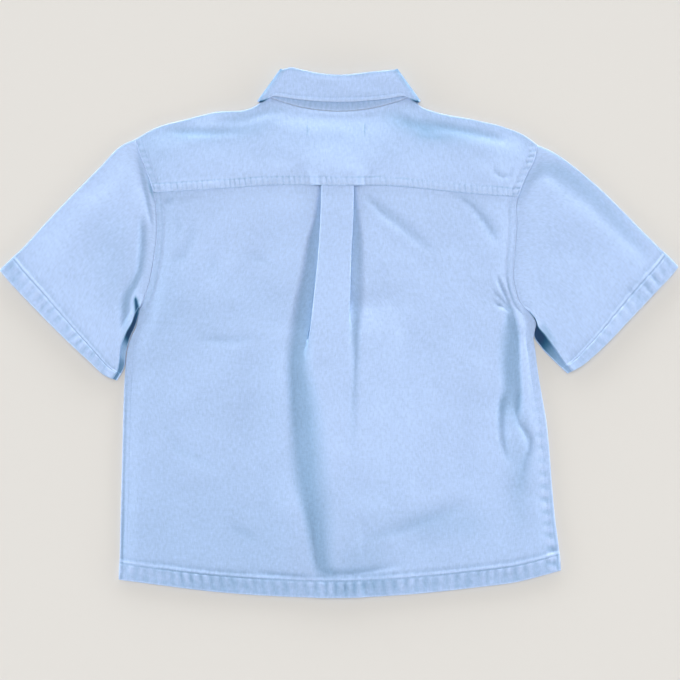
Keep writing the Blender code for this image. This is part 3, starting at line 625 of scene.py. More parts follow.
BACK_CREASES = creases(
    # drag lines from the yoke seam
    ((26, 168, 3, 0), (40, 157, 5, 4, -1.3), (50, 146, 7, 4, -1.8), (74, 129, 7, 5, -1.7),
     (103, 105, 7, 6, -1), (118, 93, 6, 0)),
    ((131, 173, 3, 0), (149, 162, 5, 4, -1.4), (163, 150, 6, 4, -1.9), (174, 136, 7, 5, -2.3),
     (184, 119, 7, 5, -2), (191, 105, 5, 0)),
    # fork of the broad trough under the right armpit, round a bubble of cloth
    ((197, -70, 5, 0), (195.5, -88, 6, 5.5, -2.4), (194.5, -108, 6, 5.5, -3), (197, -132, 5.5, 5, -2.6),
     (201, -146, 4.5, -1.6), (206, -156, 4, 0)),
    ((216, -64, 3, 0), (215.5, -80, 4, -1.8), (214, -97, 4, -1.8), (216, -108, 4, -2),
     (223, -116, 4.5, -2.8), (229, -127, 4.5, -2.9), (229, -139, 4.5, -2.6), (224, -153, 6, -2),
     (219, -176, 8, -1.2), (216, -198, 9, 8, 0)),
    ((215, -88, 3, -0.6), (222, -102, 3, -1.2), (228, -112, 3, -0.8)),
    ((211, -122, 9, 0.5), (212, -140, 8, 0.3)),
    ((219.5, 14, 2.5, 3, 0.5), (221.5, -11, 3, 3.5, 1.1), (224, -36, 3.5, 1.1), (226, -60, 3.5, 0.9),
     (227, -78, 3, 0.2)),
    ((224.5, -8, 2, 0), (225.5, -17, 2.2, 2.4, -1.2), (229, -26, 2, 0)),
    # short creases that run into the right armpit
    ((186, 72, 1.6, 0), (193, 60, 2, -2.2), (199, 46, 2, -2.8), (205, 32, 1.8, -1)),
    ((200, 74, 1.6, 0), (203, 58, 1.9, -2.4), (207, 44, 1.8, -3.2), (214, 30, 1.6, -1.6),
     (221, 22, 1.4, 0)),
    ((181, 57, 1.6, 0), (190, 45, 2, -1.8), (199, 36, 2, -2.4), (207, 29, 1.8, -1.4),
     (215, 20, 1.6, 0)),
    ((183, 38, 1.6, 0), (190, 35, 2, -2.8), (199, 31, 1.8, -2.4), (208, 23, 1.6, 0)),
    ((193, 70, 1.6, 0.3), (199, 56, 1.8, 0.8), (206, 42, 1.6, 0.4)),
    ((203, 68, 1.6, 0.3), (208, 50, 1.6, 0.8), (214, 34, 1.6, 0.6), (222, 20, 1.6, 0.2)),
    # shallow ones low down
    ((25, -249, 6, 0), (43, -243, 7, 6, -1), (73, -235, 9, 6, -1.3), (103, -224, 9, 7, -1.3),
     (133, -213, 9, 8, -0.9), (160, -205, 8, 0)),
    ((70, -203, 8, 0), (110, -196, 9, 0.5), (150, -184, 9, 0)),
    ((-133, -229, 5, 0), (-119, -236, 6, -0.9), (-107, -243, 6, -0.9), (-95, -251, 5, 0)),
    ((-172, -5, 5, 0), (-149, -8, 5, -0.9), (-119, -9, 5, 6, -0.7), (-92, -5, 5, 0)),
    ((-215, -104, 6, 0), (-193, -140, 7, 6, -0.6), (-167, -152, 6, -0.7), (-145, -160, 5, 0)),
    ((-203, 85, 5, 0), (-186, 93, 6, -0.9), (-174, 117, 6, -0.9), (-176, 142, 5, 0)),
    ((-157, 100, 6, 0), (-151, 79, 7, -0.7), (-145, 55, 6, 0)),
    ((-124, 95, 4, 0), (-97, 89, 4, -0.9), (-71, 79, 4, 0)),
    ((-209, 156, 2.5, 0), (-204, 160, 3, -1.6), (-196, 161, 2.5, 0)),
    ((-196, 148, 3, 0), (-191, 128, 4, -0.9), (-192, 112, 3, 0)),
    # above the hem
    ((-30, -282, 3, 0), (-8, -286, 5, 3.5, -2.4), (16, -286, 6.5, 3.5, -3), (40, -283, 6, 3.5, -2.4),
     (64, -278, 4, 3, -0.8), (80, -274, 3, 0)),
    ((-113, -281, 3, 0), (-83, -287, 3.5, -0.7), (-47, -290, 3.5, -0.7), (-30, -291, 3, 0)),
)
# Painted shade where the cloth is darker, and painted light where it is paler above 0, without a fold.
# Their heights are tones.
BACK_SHADES = creases(
    ((207, -66, 9, 0), (210, -88, 12, -0.9), (212, -120, 13, 14, -1.2), (214, -150, 14, -1.3),
     (214, -182, 14, 13, -1.1), (216, -215, 13, 12, -0.7), (218, -246, 10, 0)),
    ((-12, -272, 10, 0), (16, -270, 16, 12, -0.8), (44, -266, 14, 12, -0.6), (66, -262, 9, 0)),
    ((70, -226, 14, 0), (100, -230, 18, -0.8), (155, -229, 18, -0.8), (185, -226, 14, 0)),
    # painted shade along the middle of the hem's band, and painted light at its ends
    ((-24, -306, 9, 0), (4, -305, 12, -1.2), (40, -303, 12, -1.2), (78, -300, 9, 0)),
    ((-266, -284, 10, 1), (-236, -287, 10, 1.1), (-204, -293, 9, 0.4), (-180, -297, 8, 0)),
    ((176, -291, 9, 0), (205, -286, 10, 0.6), (232, -279, 10, 0.8), (268, -268, 10, 0.8)),
)
SHADE_DEPTH = 0.1

# Painted shade: how much darker the cloth is made low down, beside the left armhole, near the shoulders and
# on the left
LOW_DOWN_SHADE, BESIDE_ARMHOLE_SHADE, SHOULDER_SHADE, LEFT_SHADE = 0.06, 0.07, 0.065, 0.06

BACK_LOFT = 2.6
EDGE_SLOPE, SHOULDER_SLOPE = 26.0, 34.0


def free_air(x, y):
    """0 at the body's outline, where its layers are sewn together, to 1 well inside it."""
    inside = smooth(from_sides(x, y) / EDGE_SLOPE) * smooth((y - hem_y(x)) / EDGE_SLOPE)
    return inside * smooth((yoke_top_y(x) - y) / SHOULDER_SLOPE)


# How far out the drape over the placket, its second layer and the collar ends, and how far it slopes
PLACKET_DRAPE, SECOND_DRAPE, POINTS_DRAPE = (120, 96), (110, 84), (1.55, 0.74)


def slack(x, y):
    """How far the back stands off the layers under it where it drapes over their steps."""
    placket, second = (smooth((end - np.abs(x)) / slope) for end, slope in (PLACKET_DRAPE, SECOND_DRAPE))
    end, slope = POINTS_DRAPE
    over = np.maximum(placket * smooth((y - PLACKET_END + 10) / 90),
                      smooth((end - from_points(x, y)) / slope)) * LIFT
    second = second * smooth((NECK_BACK_Y + 30 - y) / 60)
    drape = DOUBLE + (DOUBLE + GAP) * second + over
    return np.maximum(drape - fronts_top(x, y), 0.0)


def stitched_groove(distance):
    return bell(distance, 0.9)


def hem_relief(along, in_from_edge, depth, seed, roped=1.0, band_wear_and_shade=-0.09):
    """Height and tone of a turned hem: drawn in at its stitches, with ridges across it rubbed paler,
    a band darker with painted shade and less rubbing, and painted shade and highlight by its stitches.
    """
    beyond = in_from_edge - depth + HEM_ROW  # the row of stitches
    band = smooth(in_from_edge / 3) * smooth((0.5 - beyond) / 3)
    lean = 0.12 + 0.16 * wander(along, 60, seed + 5)
    roping = puckers(along, lean * in_from_edge, HEM_PITCH, 1.0, seed)
    mottle = rumple(along + 0.6 * in_from_edge, in_from_edge - 0.3 * along, 5.5, seed + 7)
    ridges = 0.62 * roping * mix(0.4, 1.0, smooth(in_from_edge / (depth - 4)))
    broad = wander(along, 26, seed + 4)
    above = smooth((beyond - 1) / 2) * bell(beyond, 9)
    drawn_up = (0.45 + 0.15 * broad) * bell(beyond - 2.1, 0.9) - 0.4 * bell(beyond - 6, 2.8)
    height = band * (0.35 + 1.1 * roped * ridges) - 0.5 * bell(beyond, 1.0)
    height = height + roped * (0.4 * roping * above + drawn_up)
    worn = 0.26 * roped * ridges + band_wear_and_shade + (0.09 - 0.06 * roped) * broad + 0.06 * mottle
    # painted highlight on the ridge beside the stitches, painted shade in the valley past it and in the
    # stitches' groove
    beside = (0.07 + 0.04 * broad) * bell(beyond - 2, 0.8) - (0.07 - 0.03 * broad) * bell(beyond - 6, 2.6)
    worn = band * worn + roped * (beside - 0.3 * bell(beyond, 0.8) + 0.05 * roping * above)
    return height, worn + 0.1 * bell(in_from_edge - 0.8, 1.3)


def felled_relief(along, in_from_edge, seed, drawn=1.0):
    """Height and tone of a felled seam with its two rows of stitches: paler at its rubbed edges,
    with painted shade and highlight on its puckers and painted shade in its rows.
    """
    within = smooth(in_from_edge / 1.5) * smooth((FELL + 1 - in_from_edge) / 2)
    draw = drawn * puckers(along, in_from_edge, FELL_PITCH, 0.2, seed)
    rows = sum(stitched_groove(in_from_edge - row) for row in FELL_ROWS)
    height = within * (0.2 + 0.13 * draw) - 0.3 * rows
    worn = 0.04 * within * draw + 0.1 * bell(in_from_edge - 0.4, 0.9) - 0.07 * rows
    return height, worn + 0.05 * bell(in_from_edge - FELL, 0.9)


def side_seam_relief(x, y):
    """Height and tone beside the side seams: a groove on the left, puckers on the right, with painted
    shade in the groove, the rows and the crack, and painted shade and highlight on the puckers.
    """
    left, right = x - side_x("left", y), side_x("right", y) - x
    below = smooth((8 - y) / 30)
    groove = bell(left - 3.6, 1.9) * smooth((-30 - y) / 60) * (0.8 + 0.5 * smooth((-180 - y) / 60))
    draw = puckers(y, right, SIDE_PITCH, -0.15, SEEDS["side seam"])
    rows = below * (stitched_groove(right - SIDE_ROW) + stitched_groove(left - SIDE_ROW) * 0.4)
    band = below * smooth((right - 3) / 4) * smooth((19 - right) / 7) * smooth((-60 - y) / 60)
    crack = bell(right - 3.8, 0.8) * smooth((-150 - y) / 60)
    height = 0.5 * draw * band - 0.75 * groove - 0.25 * rows - 0.2 * crack
    return height, 0.19 * draw * band - 0.13 * groove - 0.05 * rows - 0.16 * crack


def soft_floor(height, softness=0.35):
    """The height, but never below 0, where the cloth lies on the layer under it."""
    return softness * np.logaddexp(0.0, height / softness)


def back_relief(x, y, on_pleat=0.0):
    """Height of the back's cloth over the fronts, and its tone: painted shade and highlight, and paler
    rubbed places.
    """
    under_seam = seam_y(x) - y
    free = free_air(x, y)
    trough, trough_shade = back_troughs(x, y, on_pleat)
    folds = sum_of(BACK_CREASES, x, y)
    slow, fine = waves(x, y, SEEDS["back"], (0.9, 52), (0.45, 21))
    on_body = smooth(under_seam / 4)
    edge = np.minimum(from_sides(x, y), y - hem_y(x))
    air = (slack(x, y) + BACK_LOFT + slow * on_body) * free + (folds - trough) * smooth(edge / 8 + 0.3)
    height = soft_floor(air) + fine * on_body
    worn = shape_shade(folds, slow, fine) - trough_shade + SHADE_DEPTH * sum_of(BACK_SHADES, x, y)
    worn = worn - LOW_DOWN_SHADE * smooth((-120 - y) / 130)
    worn = worn - BESIDE_ARMHOLE_SHADE * bell(x + 215, 34) * smooth((y + 60) / 120)
    worn = worn - LEFT_SHADE * smooth((-30 - x) / 60) * smooth((120 - y) / 100)
    hem, hem_wear_and_shade = hem_relief(x, y - hem_y(x), HEM, SEEDS["hem"])
    felled, felled_wear_and_shade = felled_relief(y, from_sides(x, y), SEEDS["back fell"])
    side, side_seam_shade = side_seam_relief(x, y)
    armhole = smooth((y - 22) / 12) * smooth(under_seam / 3)
    worn = worn + hem_wear_and_shade + felled_wear_and_shade * armhole + side_seam_shade
    puff = 0.9 * bell(under_seam - 1.8, 2.6) * smooth((under_seam + 1) / 1.5)
    # painted shadow in a thin line just under the yoke's edge
    return height + hem + felled * armhole + side + puff, worn - 0.12 * bell(under_seam, 1.0)


def back_wall(x, y):
    felled = smooth((FELL + STEP / 2 - from_sides(x, y)) / STEP) * smooth((y - 20) / 6)
    felled = felled * smooth((seam_y(x) - y) / FELL)
    return mix(CLOTH, DOUBLE, np.maximum(felled, hem_band(x, y)))


CORNERS = ("left_x", "left_y", "right_x", "right_y")


def between_rows(values, key, *columns):
    """Columns of a table, read smoothly where its rising key column has the values."""
    rows = np.arange(len(key))
    place = np.interp(values, key, rows)
    return [flow(place, rows, column) for column in columns]


def back_panel():
    """Grid of the back panel, from the hem up, and its tone with its painted shade."""
    table = [np.concatenate([YOKE_ROWS[name][1:2], BODY_ROWS[name]])[::-1] for name in CORNERS]
    hem_end, top_end = table[1][0], table[1][-1]
    left_y = np.concatenate([np.arange(hem_end, hem_end + 30, 1.25),
                             np.linspace(hem_end + 30, top_end - 8, 130),
                             np.linspace(top_end - 6.5, top_end, 6)])
    left_x, left_y, right_x, right_y = between_rows(left_y, table[1], *table)
    seam_end = BODY_ROWS["left_y"][0]
    down = np.maximum((seam_end - left_y) / (seam_end - hem_end), 0.0)

    level = (left_y + right_y) / 2
    level = level + mix(BOW.at("seam", 0.5), BOW.at("hem", 0.5), down)
    rise = TURN + CLOTH / 2
    paths = {}
    for side, sign in (("left", 1), ("right", -1)):
        sharp = along_pleat(side, level)
        turn = mix(FADED_TURN, PLEAT.at(f"{side}_turn", level), sharp)
        depth = mix(FADED_DEPTH, PLEAT.at("depth", level), sharp)
        sideways, up = turned_path(turn, depth, mix(FADED_RISE, PLEAT_RISE, sharp), 7)
        sideways *= mix(2.0, 1.0, smooth(3 * sharp))[:, None]
        paths[side] = PLEAT.at(side, level)[:, None] + sign * (sideways + rise), up
    spread = np.concatenate([np.arange(0, 19.5, 1.3), np.linspace(20.8, 200, 106)]) / 200
    (left_path, left_up), (right_path, right_up) = paths["left"], paths["right"]
    to_pleat = mix(left_x[:, None], left_path[:, :1], spread[None, :-1])
    from_pleat = mix(right_x[:, None], right_path[:, :1], spread[None, -2::-1])
    top_share = np.linspace(0, 1, 19)[None, 1:-1]
    top_x = mix(left_path[:, -1:], right_path[:, -1:], top_share)

    def joined(before, left, top, right, after):
        return np.concatenate([before, left, top, right[:, ::-1], after], 1)

    x = joined(to_pleat, left_path, top_x, right_path, from_pleat)
    left_rise, right_rise, before, after = left_up[:, -1:], right_up[:, -1:], 0 * to_pleat, 0 * from_pleat
    up = joined(before, left_up, mix(left_rise, right_rise, top_share), right_up, after)
    on_pleat = joined(before, left_up / left_rise, 0 * top_x + 1, right_up / right_rise, after)

    share = (x - left_x[:, None]) / (right_x - left_x)[:, None]
    bow = mix(BOW.at("seam", share), BOW.at("hem", share), down[:, None])
    y = mix(left_y[:, None], right_y[:, None], share) + bow
    right_end = np.maximum(PLEAT.at("right", level)[:, None] + rise, right_path[:, :1])
    base_x = np.where(up > 0, np.clip(x, left_path[:, :1], right_end), x)
    relief, worn = back_relief(base_x, y, on_pleat)
    z = fronts_top(base_x, y) + GAP + back_wall(base_x, y) / 2 + relief + up
    left, right = left_path[:, -1:], right_path[:, -1:]
    across_top = np.clip((x - left) / (right - left), 0, 1)
    near_left = (1 - across_top) * smooth(1 - (left - x) / 70)
    near_right = across_top * smooth(1 - (x - right) / 70)
    lacking = (PLEAT_RISE - left_rise) * near_left + (PLEAT_RISE - right_rise) * near_right
    z += lacking * smooth((y - hem_y(x) - 8) / 90)
    # painted shade along the pleat's folded edges, over the rims where light would catch
    folded = joined(before, smooth(left_rise / 2.5) + 0 * left_up, 0 * top_x,
                    smooth(right_rise / 2.5) + 0 * right_up, after)
    worn = worn - 0.3 * folded * smooth(up / 0.5) * smooth((1.02 - on_pleat) / 0.3)
    return np.stack([x, y, z], 2), back_wall(x, y), worn


# Yoke

YOKE_CREASES = creases(
    ((-212, 245, 4, 0), (-188, 241, 6, 5, -1.6), (-160, 240, 6, 5, -1.7), (-136, 240, 5, 4, -1.2),
     (-112, 243, 4, 0)),
    ((-152, 250, 4, 0), (-122, 256, 5, 4, -1.5), (-95, 262, 5, 4, -1.6), (-72, 267, 4, -0.8),
     (-59, 268, 4, 0)),
    ((56, 266, 5, 0), (79, 254, 8, 7, -1.3), (103, 244, 8, 7, -1.5), (127, 239, 6, 0)),
    ((92, 255, 5, 0), (120, 248, 6, 5, -1.7), (152, 241.5, 6, 5, -1.9), (182, 234.5, 6, 5, -1.7),
     (204, 229, 4, 0)),
    ((184, 201, 2, 0), (187, 193, 2.5, 3, -1.2), (196, 187, 3, -1.3), (204, 190, 2.5, 3, -0.9),
     (208, 201, 2, 0)),
)
# Painted shade where the yoke is darker without a fold
YOKE_SHADES = creases(
    ((45, 264, 8, 0), (68, 254, 10, -1.5), (100, 244, 13, 14, -2.2), (132, 240, 12, 13, -2),
     (165, 237, 9, -1.1), (198, 230, 6, 0)),
    ((86, 238, 2, 0), (98, 236, 3, -0.8), (116, 234, 3, -1.1), (134, 233, 2, 0)),
    ((-152, 243, 9, 0), (-122, 242, 9, 10, -1.1), (-96, 246, 9, -1), (-70, 256, 8, 0)),
    ((-216, 240, 7, 0), (-184, 237, 8, -1.2), (-152, 237, 8, -1), (-128, 238, 7, 0)),
    ((-231, 193, 1, 0), (-227, 181, 1.3, 1.8, -2.6), (-223.5, 170, 1.5, 2, -3.4), (-221.5, 166, 1, -2)),
)
TUCKED_END, TUCKED_SLOPE = 84, 70  # of the back panel's top under the yoke
PLEAT_SLOPES = 13, 60  # down from the pleat's thickness at each side, near the seam and above it
LABEL_XS, LABEL_YS = (-38, 30.5), (237, 250)  # tacks where a label would be sewn on inside


def yoke_top_y(x):
    shoulder = np.where(x < 0, SHOULDERS["left"].at("y", x), SHOULDERS["right"].at("y", x))
    return np.where(np.abs(x) < NECK_HALF, neck_back_y(x), shoulder)


def yoke_relief(x, y, to_fold):
    """Height of the yoke's cloth over what it lies on, and its tone: painted shade and highlight, and paler
    rubbed places.
    """
    above = y - seam_y(x)
    free = free_air(x, y)
    folds = sum_of(YOKE_CREASES, x, y)
    slow, fine = waves(x, y, SEEDS["yoke"], (0.8, 48), (0.4, 19))
    slow = slow * smooth(above / 20)
    height = soft_floor((slack(x, y) + BACK_LOFT + slow) * free + folds) + fine
    dips = np.maximum(0, -puckers(x, above, BAND_PITCH, 0.15, SEEDS["yoke band"]))
    draw = 0.5 - dips ** 1.2 * 1.6
    band = smooth((above + 1) / 3) * smooth((12 - above) / 2)
    tack = sum(bell(x - label_x, 0.7) for label_x in LABEL_XS)
    tack = tack * smooth(y - LABEL_YS[0] + 0.5) * smooth(LABEL_YS[1] - y)
    row = stitched_groove(above - 10.5)
    drawn = mix(2.6, 3.8, smooth(x / 50))
    felled, felled_wear_and_shade = felled_relief(y, from_sides(x, y), SEEDS["yoke fell"], drawn)
    height = height + band * (0.25 + 0.35 * draw) - 0.35 * row + felled - 0.35 * tack
    worn = shape_shade(folds, slow, fine) + 0.14 * band * draw - 0.2 * row - 0.3 * tack
    # painted shadow along the yoke's edge at its seam, and painted highlight just above it
    worn = worn - 0.3 * bell(above, 0.7) + 0.12 * bell(above - 1.8, 0.8)
    # painted shade over the pleat's edges under the yoke's band
    beside_pleat = bell(x + 27, 3.5) + bell(x - 24, 3.5)
    worn = worn - 0.1 * beside_pleat * smooth((13 - above) / 5)
    # painted shade near the shoulder fold, and painted light along the neck edge where it meets the stand
    worn = worn - 0.28 * smooth((3.5 - to_fold) / 3.5) * smooth((np.abs(x) - NECK_HALF) / 6)
    worn = worn + 0.25 * smooth((1.5 - to_fold) / 1.5) * smooth((NECK_HALF - np.abs(x)) / 3)
    worn = worn + SHADE_DEPTH * sum_of(YOKE_SHADES, x, y)
    worn = worn - SHOULDER_SHADE * smooth((y - 190) / 50) - BESIDE_ARMHOLE_SHADE * bell(x + 228, 34)
    return height, worn + 0.06 * bell(above - 13, 1.2) + felled_wear_and_shade


def yoke_wall(x, y, to_fold):
    felled = smooth((FELL + STEP / 2 - from_sides(x, y)) / STEP) * smooth((to_fold - 8) / 4)
    return mix(CLOTH, DOUBLE, felled) * mix(0.5, 1.0, smooth((y - seam_y(x)) / 4))


def yoke_z(x, y, to_fold):
    """Height of the yoke's middle: over the fronts, and at first over the back panel's top."""
    above = y - seam_y(x)
    tucked = smooth((TUCKED_END - above) / TUCKED_SLOPE)
    left, right = (PLEAT.at(name, y) for name in ("left", "right"))
    slope = mix(*PLEAT_SLOPES, smooth((above - 6) / 40))
    on_pleat = smooth((np.minimum(x - left, right - x) + 1 + slope) / slope)
    under = CLOTH + GAP + (4 * TURN + GAP) * on_pleat
    relief, _ = yoke_relief(x, y, to_fold)
    settled = 0.2 * bell(above, 3)
    return fronts_top(x, y) + tucked * under + GAP - settled + yoke_wall(x, y, to_fold) / 2 + relief


def half_turn(steps):
    """Angles round a fold, from its upper layer down to its lower one."""
    return np.pi * (0.5 - np.arange(1, steps) / steps)


def forward_seam(x):
    """Where the yoke's columns that cross the shoulders at x end, on the forward seams."""
    end_x, end_y = (np.where(x < 0, YOKE_ROWS[f"left_{axis}"][FORWARD_SEAM_ROW],
                             YOKE_ROWS[f"right_{axis}"][FORWARD_SEAM_ROW]) for axis in "xy")
    start_x = np.where(x < 0, YOKE_ROWS["left_x"][-1], YOKE_ROWS["right_x"][-1])
    neck_x = np.copysign(neck_front_x(FORWARD_SEAM_NECK_Y), x)
    share = (x - start_x) / (np.copysign(NECK_HALF, x) - start_x)
    return mix(end_x, neck_x, share), mix(end_y, FORWARD_SEAM_NECK_Y, share)


def yoke():
    """Grid of the yoke, from its seam over the shoulders to the forward seams."""
    left_top, right_top = YOKE_ROWS["left_x"][-1], YOKE_ROWS["right_x"][-1]
    columns = np.concatenate([np.linspace(left_top, -NECK_HALF, 124), np.linspace(-83, 83, 120),
                              np.linspace(NECK_HALF, right_top, 124)])
    across = (columns - left_top) / (right_top - left_top)
    climb, right_climb = (YOKE_ROWS[name][-1] - YOKE_ROWS[name][0] for name in ("left_y", "right_y"))
    up_left = np.concatenate([np.arange(0, 12, 1.0), np.arange(12, 0.94 * climb, 2.0)])
    left_x, left_y, right_x, right_y = (values[:, None] for values in between_rows(
        up_left + YOKE_ROWS["left_y"][0], YOKE_ROWS["left_y"], *(YOKE_ROWS[name] for name in CORNERS)))
    x = mix(left_x, right_x, across)
    up = mix((left_y - left_y[0]) / climb, (right_y - right_y[0]) / right_climb, across)
    top_y = yoke_top_y(columns)
    y = mix(seam_y(x[0]), top_y, up)
    to_fold = top_y - y
    _, worn = yoke_relief(x, y, to_fold)
    upper = np.stack([x, y, yoke_z(x, y, to_fold)], 2)
    wall = yoke_wall(x, y, to_fold)

    on_neck = np.abs(columns) < NECK_HALF
    high = yoke_z(columns, top_y, 0 * columns)
    low = CLOTH / 2 + lift(columns, top_y - 2 * TURN)
    radius = (high - low) / 2
    centre_y = top_y - radius - CLOTH / 2
    angles = np.concatenate([[np.pi / 2], half_turn(8), [-np.pi / 2]])[:, None]
    fold = np.stack([columns + 0 * angles, centre_y + radius * np.cos(angles),
                     low + radius + radius * np.sin(angles)], 2)
    fold[0, on_neck] = np.stack([columns, neck_back_y(columns) - SEAM_GAP, high], 1)[on_neck]
    seam_x, seam_end_y = forward_seam(columns)
    share = np.linspace(0.06, 1, 16)[:, None]
    strip_x, strip_y = mix(columns, seam_x, share), mix(centre_y, seam_end_y + GAP, share)
    strip_x = np.copysign(np.maximum(np.abs(strip_x), neck_front_x(strip_y) + 3 * GAP), strip_x)
    strip = np.stack([strip_x, strip_y, CLOTH / 2 + lift(strip_x, strip_y)], 2)
    points = np.concatenate([upper, fold, strip])
    there = np.ones(points.shape[:2], bool)
    there[len(upper) + 1:, on_neck] = False
    # painted shade round the shoulder fold
    worn = np.concatenate([worn, 0 * fold[..., 0] - 0.14, 0 * strip_x + 0.04])
    wall = np.concatenate([wall, np.full((len(fold) + len(strip), len(columns)), CLOTH)])
    return points, wall, worn, there


# Fronts


def front(side):
    """Grid of a front: from its forward seam and neckline to the hem, and from its side inward."""
    sign = -1 if side == "left" else 1
    end_x, end_y = (np.concatenate([YOKE_ROWS[side + axis][FORWARD_SEAM_ROW:0:-1], BODY_ROWS[side + axis]])
                    for axis in ("_x", "_y"))
    fall = end_y[0] - end_y
    at = np.concatenate([np.arange(0, fall[-1] - 28, 4.0), np.arange(fall[-1] - 27, fall[-1], 1.5),
                         fall[-1:]])
    row_x, row_y = (values[:, None] for values in between_rows(at, fall, np.abs(end_x), end_y))
    down = (end_y[0] - row_y) / fall[-1]
    neck_x, edge = neck_front_x(FORWARD_SEAM_NECK_Y), PLACKET / 2
    share = np.concatenate([np.arange(0, 12, 1.5) / 140, np.linspace(12 / 140, 1, 36)])
    near = np.concatenate([np.linspace(neck_x - 2.5, edge + 3, 24),
                           np.arange(edge + 1.5, -edge - 0.1, -1.5), [-edge]])
    column = np.concatenate([mix(row_x, neck_x, share), near + 0 * row_x], 1)
    top_column = np.concatenate([mix(abs(end_x[0]), neck_x, share), near])
    on_seam = (top_column - neck_x) / (abs(end_x[0]) - neck_x)
    top_y = np.where(on_seam < 0, neck_front_y(top_column), mix(FORWARD_SEAM_NECK_Y, end_y[0], on_seam))
    x = sign * column
    y = mix(top_y, hem_y(x), down)
    y[0] -= GAP
    placket = smooth((edge - np.abs(x)) / STEP + 1)
    wall = mix(CLOTH, DOUBLE, np.maximum(placket, hem_band(x, y)))
    z = wall / 2 + lift(x, y)
    if side == "left":
        z += (DOUBLE + GAP) * smooth((x + edge) / PLACKET_SLOPE + 1 + STEP / PLACKET_SLOPE)
    stitched = stitched_groove(np.abs(x) - edge + 5) + stitched_groove(y - hem_y(x) - HEM + 1)
    worn = 0.06 - 0.09 * stitched + 0.06 * bell(np.abs(x) - edge, 1.2)
    return np.stack([x, y, z], 2), wall, worn + 0.05 * rumple(x, y, 40, SEEDS["front"])


# Sleeves

SLEEVE_CREASES = creases(
    # broad fold across the right sleeve, from the armpit to the cuff, and the ridge above it
    ((214, 158, 6, -0.8), (227, 184, 8, -2), (244, 199, 9, 11, -2.8), (262, 197, 10, 15, -3),
     (280, 186, 10, 16, -3), (298, 171, 10, 14, -2.8), (322, 147, 10, 12, -2.4),
     (348, 117, 9, 10, -1.8), (366, 96, 8, -0.8)),
    # short ones across the right cuff
    ((370, 73, 2.2, 0), (378, 66, 2.6, -2.4), (387, 58, 2.2, -1)),
    ((358, 63, 2.2, 0), (366, 57, 3, -2.6), (377, 47, 2.4, -1.4)),
    ((346, 55, 2.2, 0), (355, 46, 2.8, -2.2), (364, 38, 2.2, -0.8)),
    ((247, 217, 5, 6, 0.3), (275, 207, 6, 0.8), (305, 187, 6, 0.8), (332, 162, 6, 0.7),
     (359, 134, 6, 0.3)),
    # fold down the left sleeve close beside the armhole, and the narrow ridge between them
    ((-240.5, 221, 2, 0), (-239, 208, 2.8, -2.2), (-234.5, 189, 3.2, -3), (-230, 165, 3.2, -3),
     (-227, 148, 3, -2.4), (-224, 134, 2.6, -1.3), (-221.5, 122, 2, 0)),
    ((-237, 208, 1.6, 0.3), (-229.5, 183, 2, 1), (-224.8, 162, 2, 1), (-222.3, 140, 1.8, 0.9),
     (-221.6, 118, 1.8, 0.7), (-226, 88, 1.8, 0.4)),
    # broad fold further down it
    ((-236.5, 142, 4, 0), (-236, 128, 5, 4.5, -2.4), (-235.5, 113, 5.5, 4.5, -3.4),
     (-236.5, 95, 5.5, 4.5, -3.4), (-238.5, 75, 5, 4.5, -3.6), (-246, 58, 5, 4.5, -3.8),
     (-254, 44, 6, -4.2), (-256, 32, 6.5, 6, -4.4), (-256.5, 12, 6.5, 5.5, -3.8), (-257, -8, 5, 4, 0)),
)
# Painted shade where the sleeves are darker without a fold, as in the gaps at the armpits
SLEEVE_SHADES = creases(
    ((-243.8, 46, 0.9, 0), (-243.6, 41, 2, -1), (-242, 32, 3.1, -1.1), (-241.2, 24, 3.2, -1.1)),
    ((243, 15, 2, 3, 0), (246, 8, 3, 6, -0.25), (252, -2, 3, 7, -0.3), (259, -11, 3, 5, -0.15),
     (266, -20, 3, 4, 0)),
    ((-396, 84, 9, -0.1), (-386, 62, 10, -0.14), (-372, 46, 8, 0)),
    ((-328, 6, 8, 0), (-300, -21, 10, -0.07), (-280, -40, 9, -0.08), (-262, -50, 7, 0)),
    ((-290, 158, 24, 0), (-270, 120, 26, -0.07), (-268, 70, 26, -0.08), (-276, 10, 20, 0)),
    ((-232, 194, 1.2, 0), (-228.6, 181, 2.4, 1.5, -0.3), (-225.4, 171, 2.6, 1.6, -0.55),
     (-223.4, 164, 1.6, 1.2, -0.3), (-222.6, 157, 1, 0)),
)
SLEEVE_SHADE_DEPTH = 0.9
SLEEVE_LOFT = 2.6
PIT_BELLY = 45.0  # how far the underarm's outline is drawn out near the armpit
EDGE_RISES, EDGE_TURNS = (1.5, 2.8), (115, 100)  # of the upper layer's rolled edge, as it runs out


def turned_path(turn, depth, rise, steps):
    """Offsets (sideways, up), a row each, of cloth that turns back over itself and on again."""
    turn = np.radians(turn)
    radius = np.clip((rise - depth * np.sin(turn)) / (2 * (1 - np.cos(turn))), TURN, 6.0)
    sideways, up, heading = [0 * turn], [0 * turn], 0 * turn
    flat = 2 * radius * np.sin(turn / steps / 2)
    for bend in (1, -1):
        for _ in range(steps):
            heading = heading + bend * turn / steps / 2
            sideways.append(sideways[-1] + flat * np.cos(heading))
            up.append(up[-1] + flat * np.sin(heading))
            heading = heading + bend * turn / steps / 2
        if bend > 0:
            sideways.append(sideways[-1] + depth * np.cos(turn))
            up.append(up[-1] + depth * np.sin(turn))
    sideways, up = np.stack(sideways, 1), np.stack(up, 1)
    return sideways - sideways[:, -1:], up


def unit(way):
    return way / np.linalg.norm(way, axis=-1, keepdims=True)


def beside(line, off):
    """A line in plan, moved sideways to the left of its way."""
    way = unit(np.gradient(line, axis=0))
    return line + off * np.stack([-way[:, 1], way[:, 0]], 1)


def armhole_points(side, out):
    """The body's armhole, just off it so that the sleeve meets it edge to edge."""
    down = np.stack(BODY_EDGES[side][::-1], 1)[::-1][:len(YOKE_ROWS["left_y"]) + PIT_ROW]
    moved = beside(down, out * SEAM_GAP)
    moved[-1] = SLEEVES[side]["under"].along(0.0)
    return moved


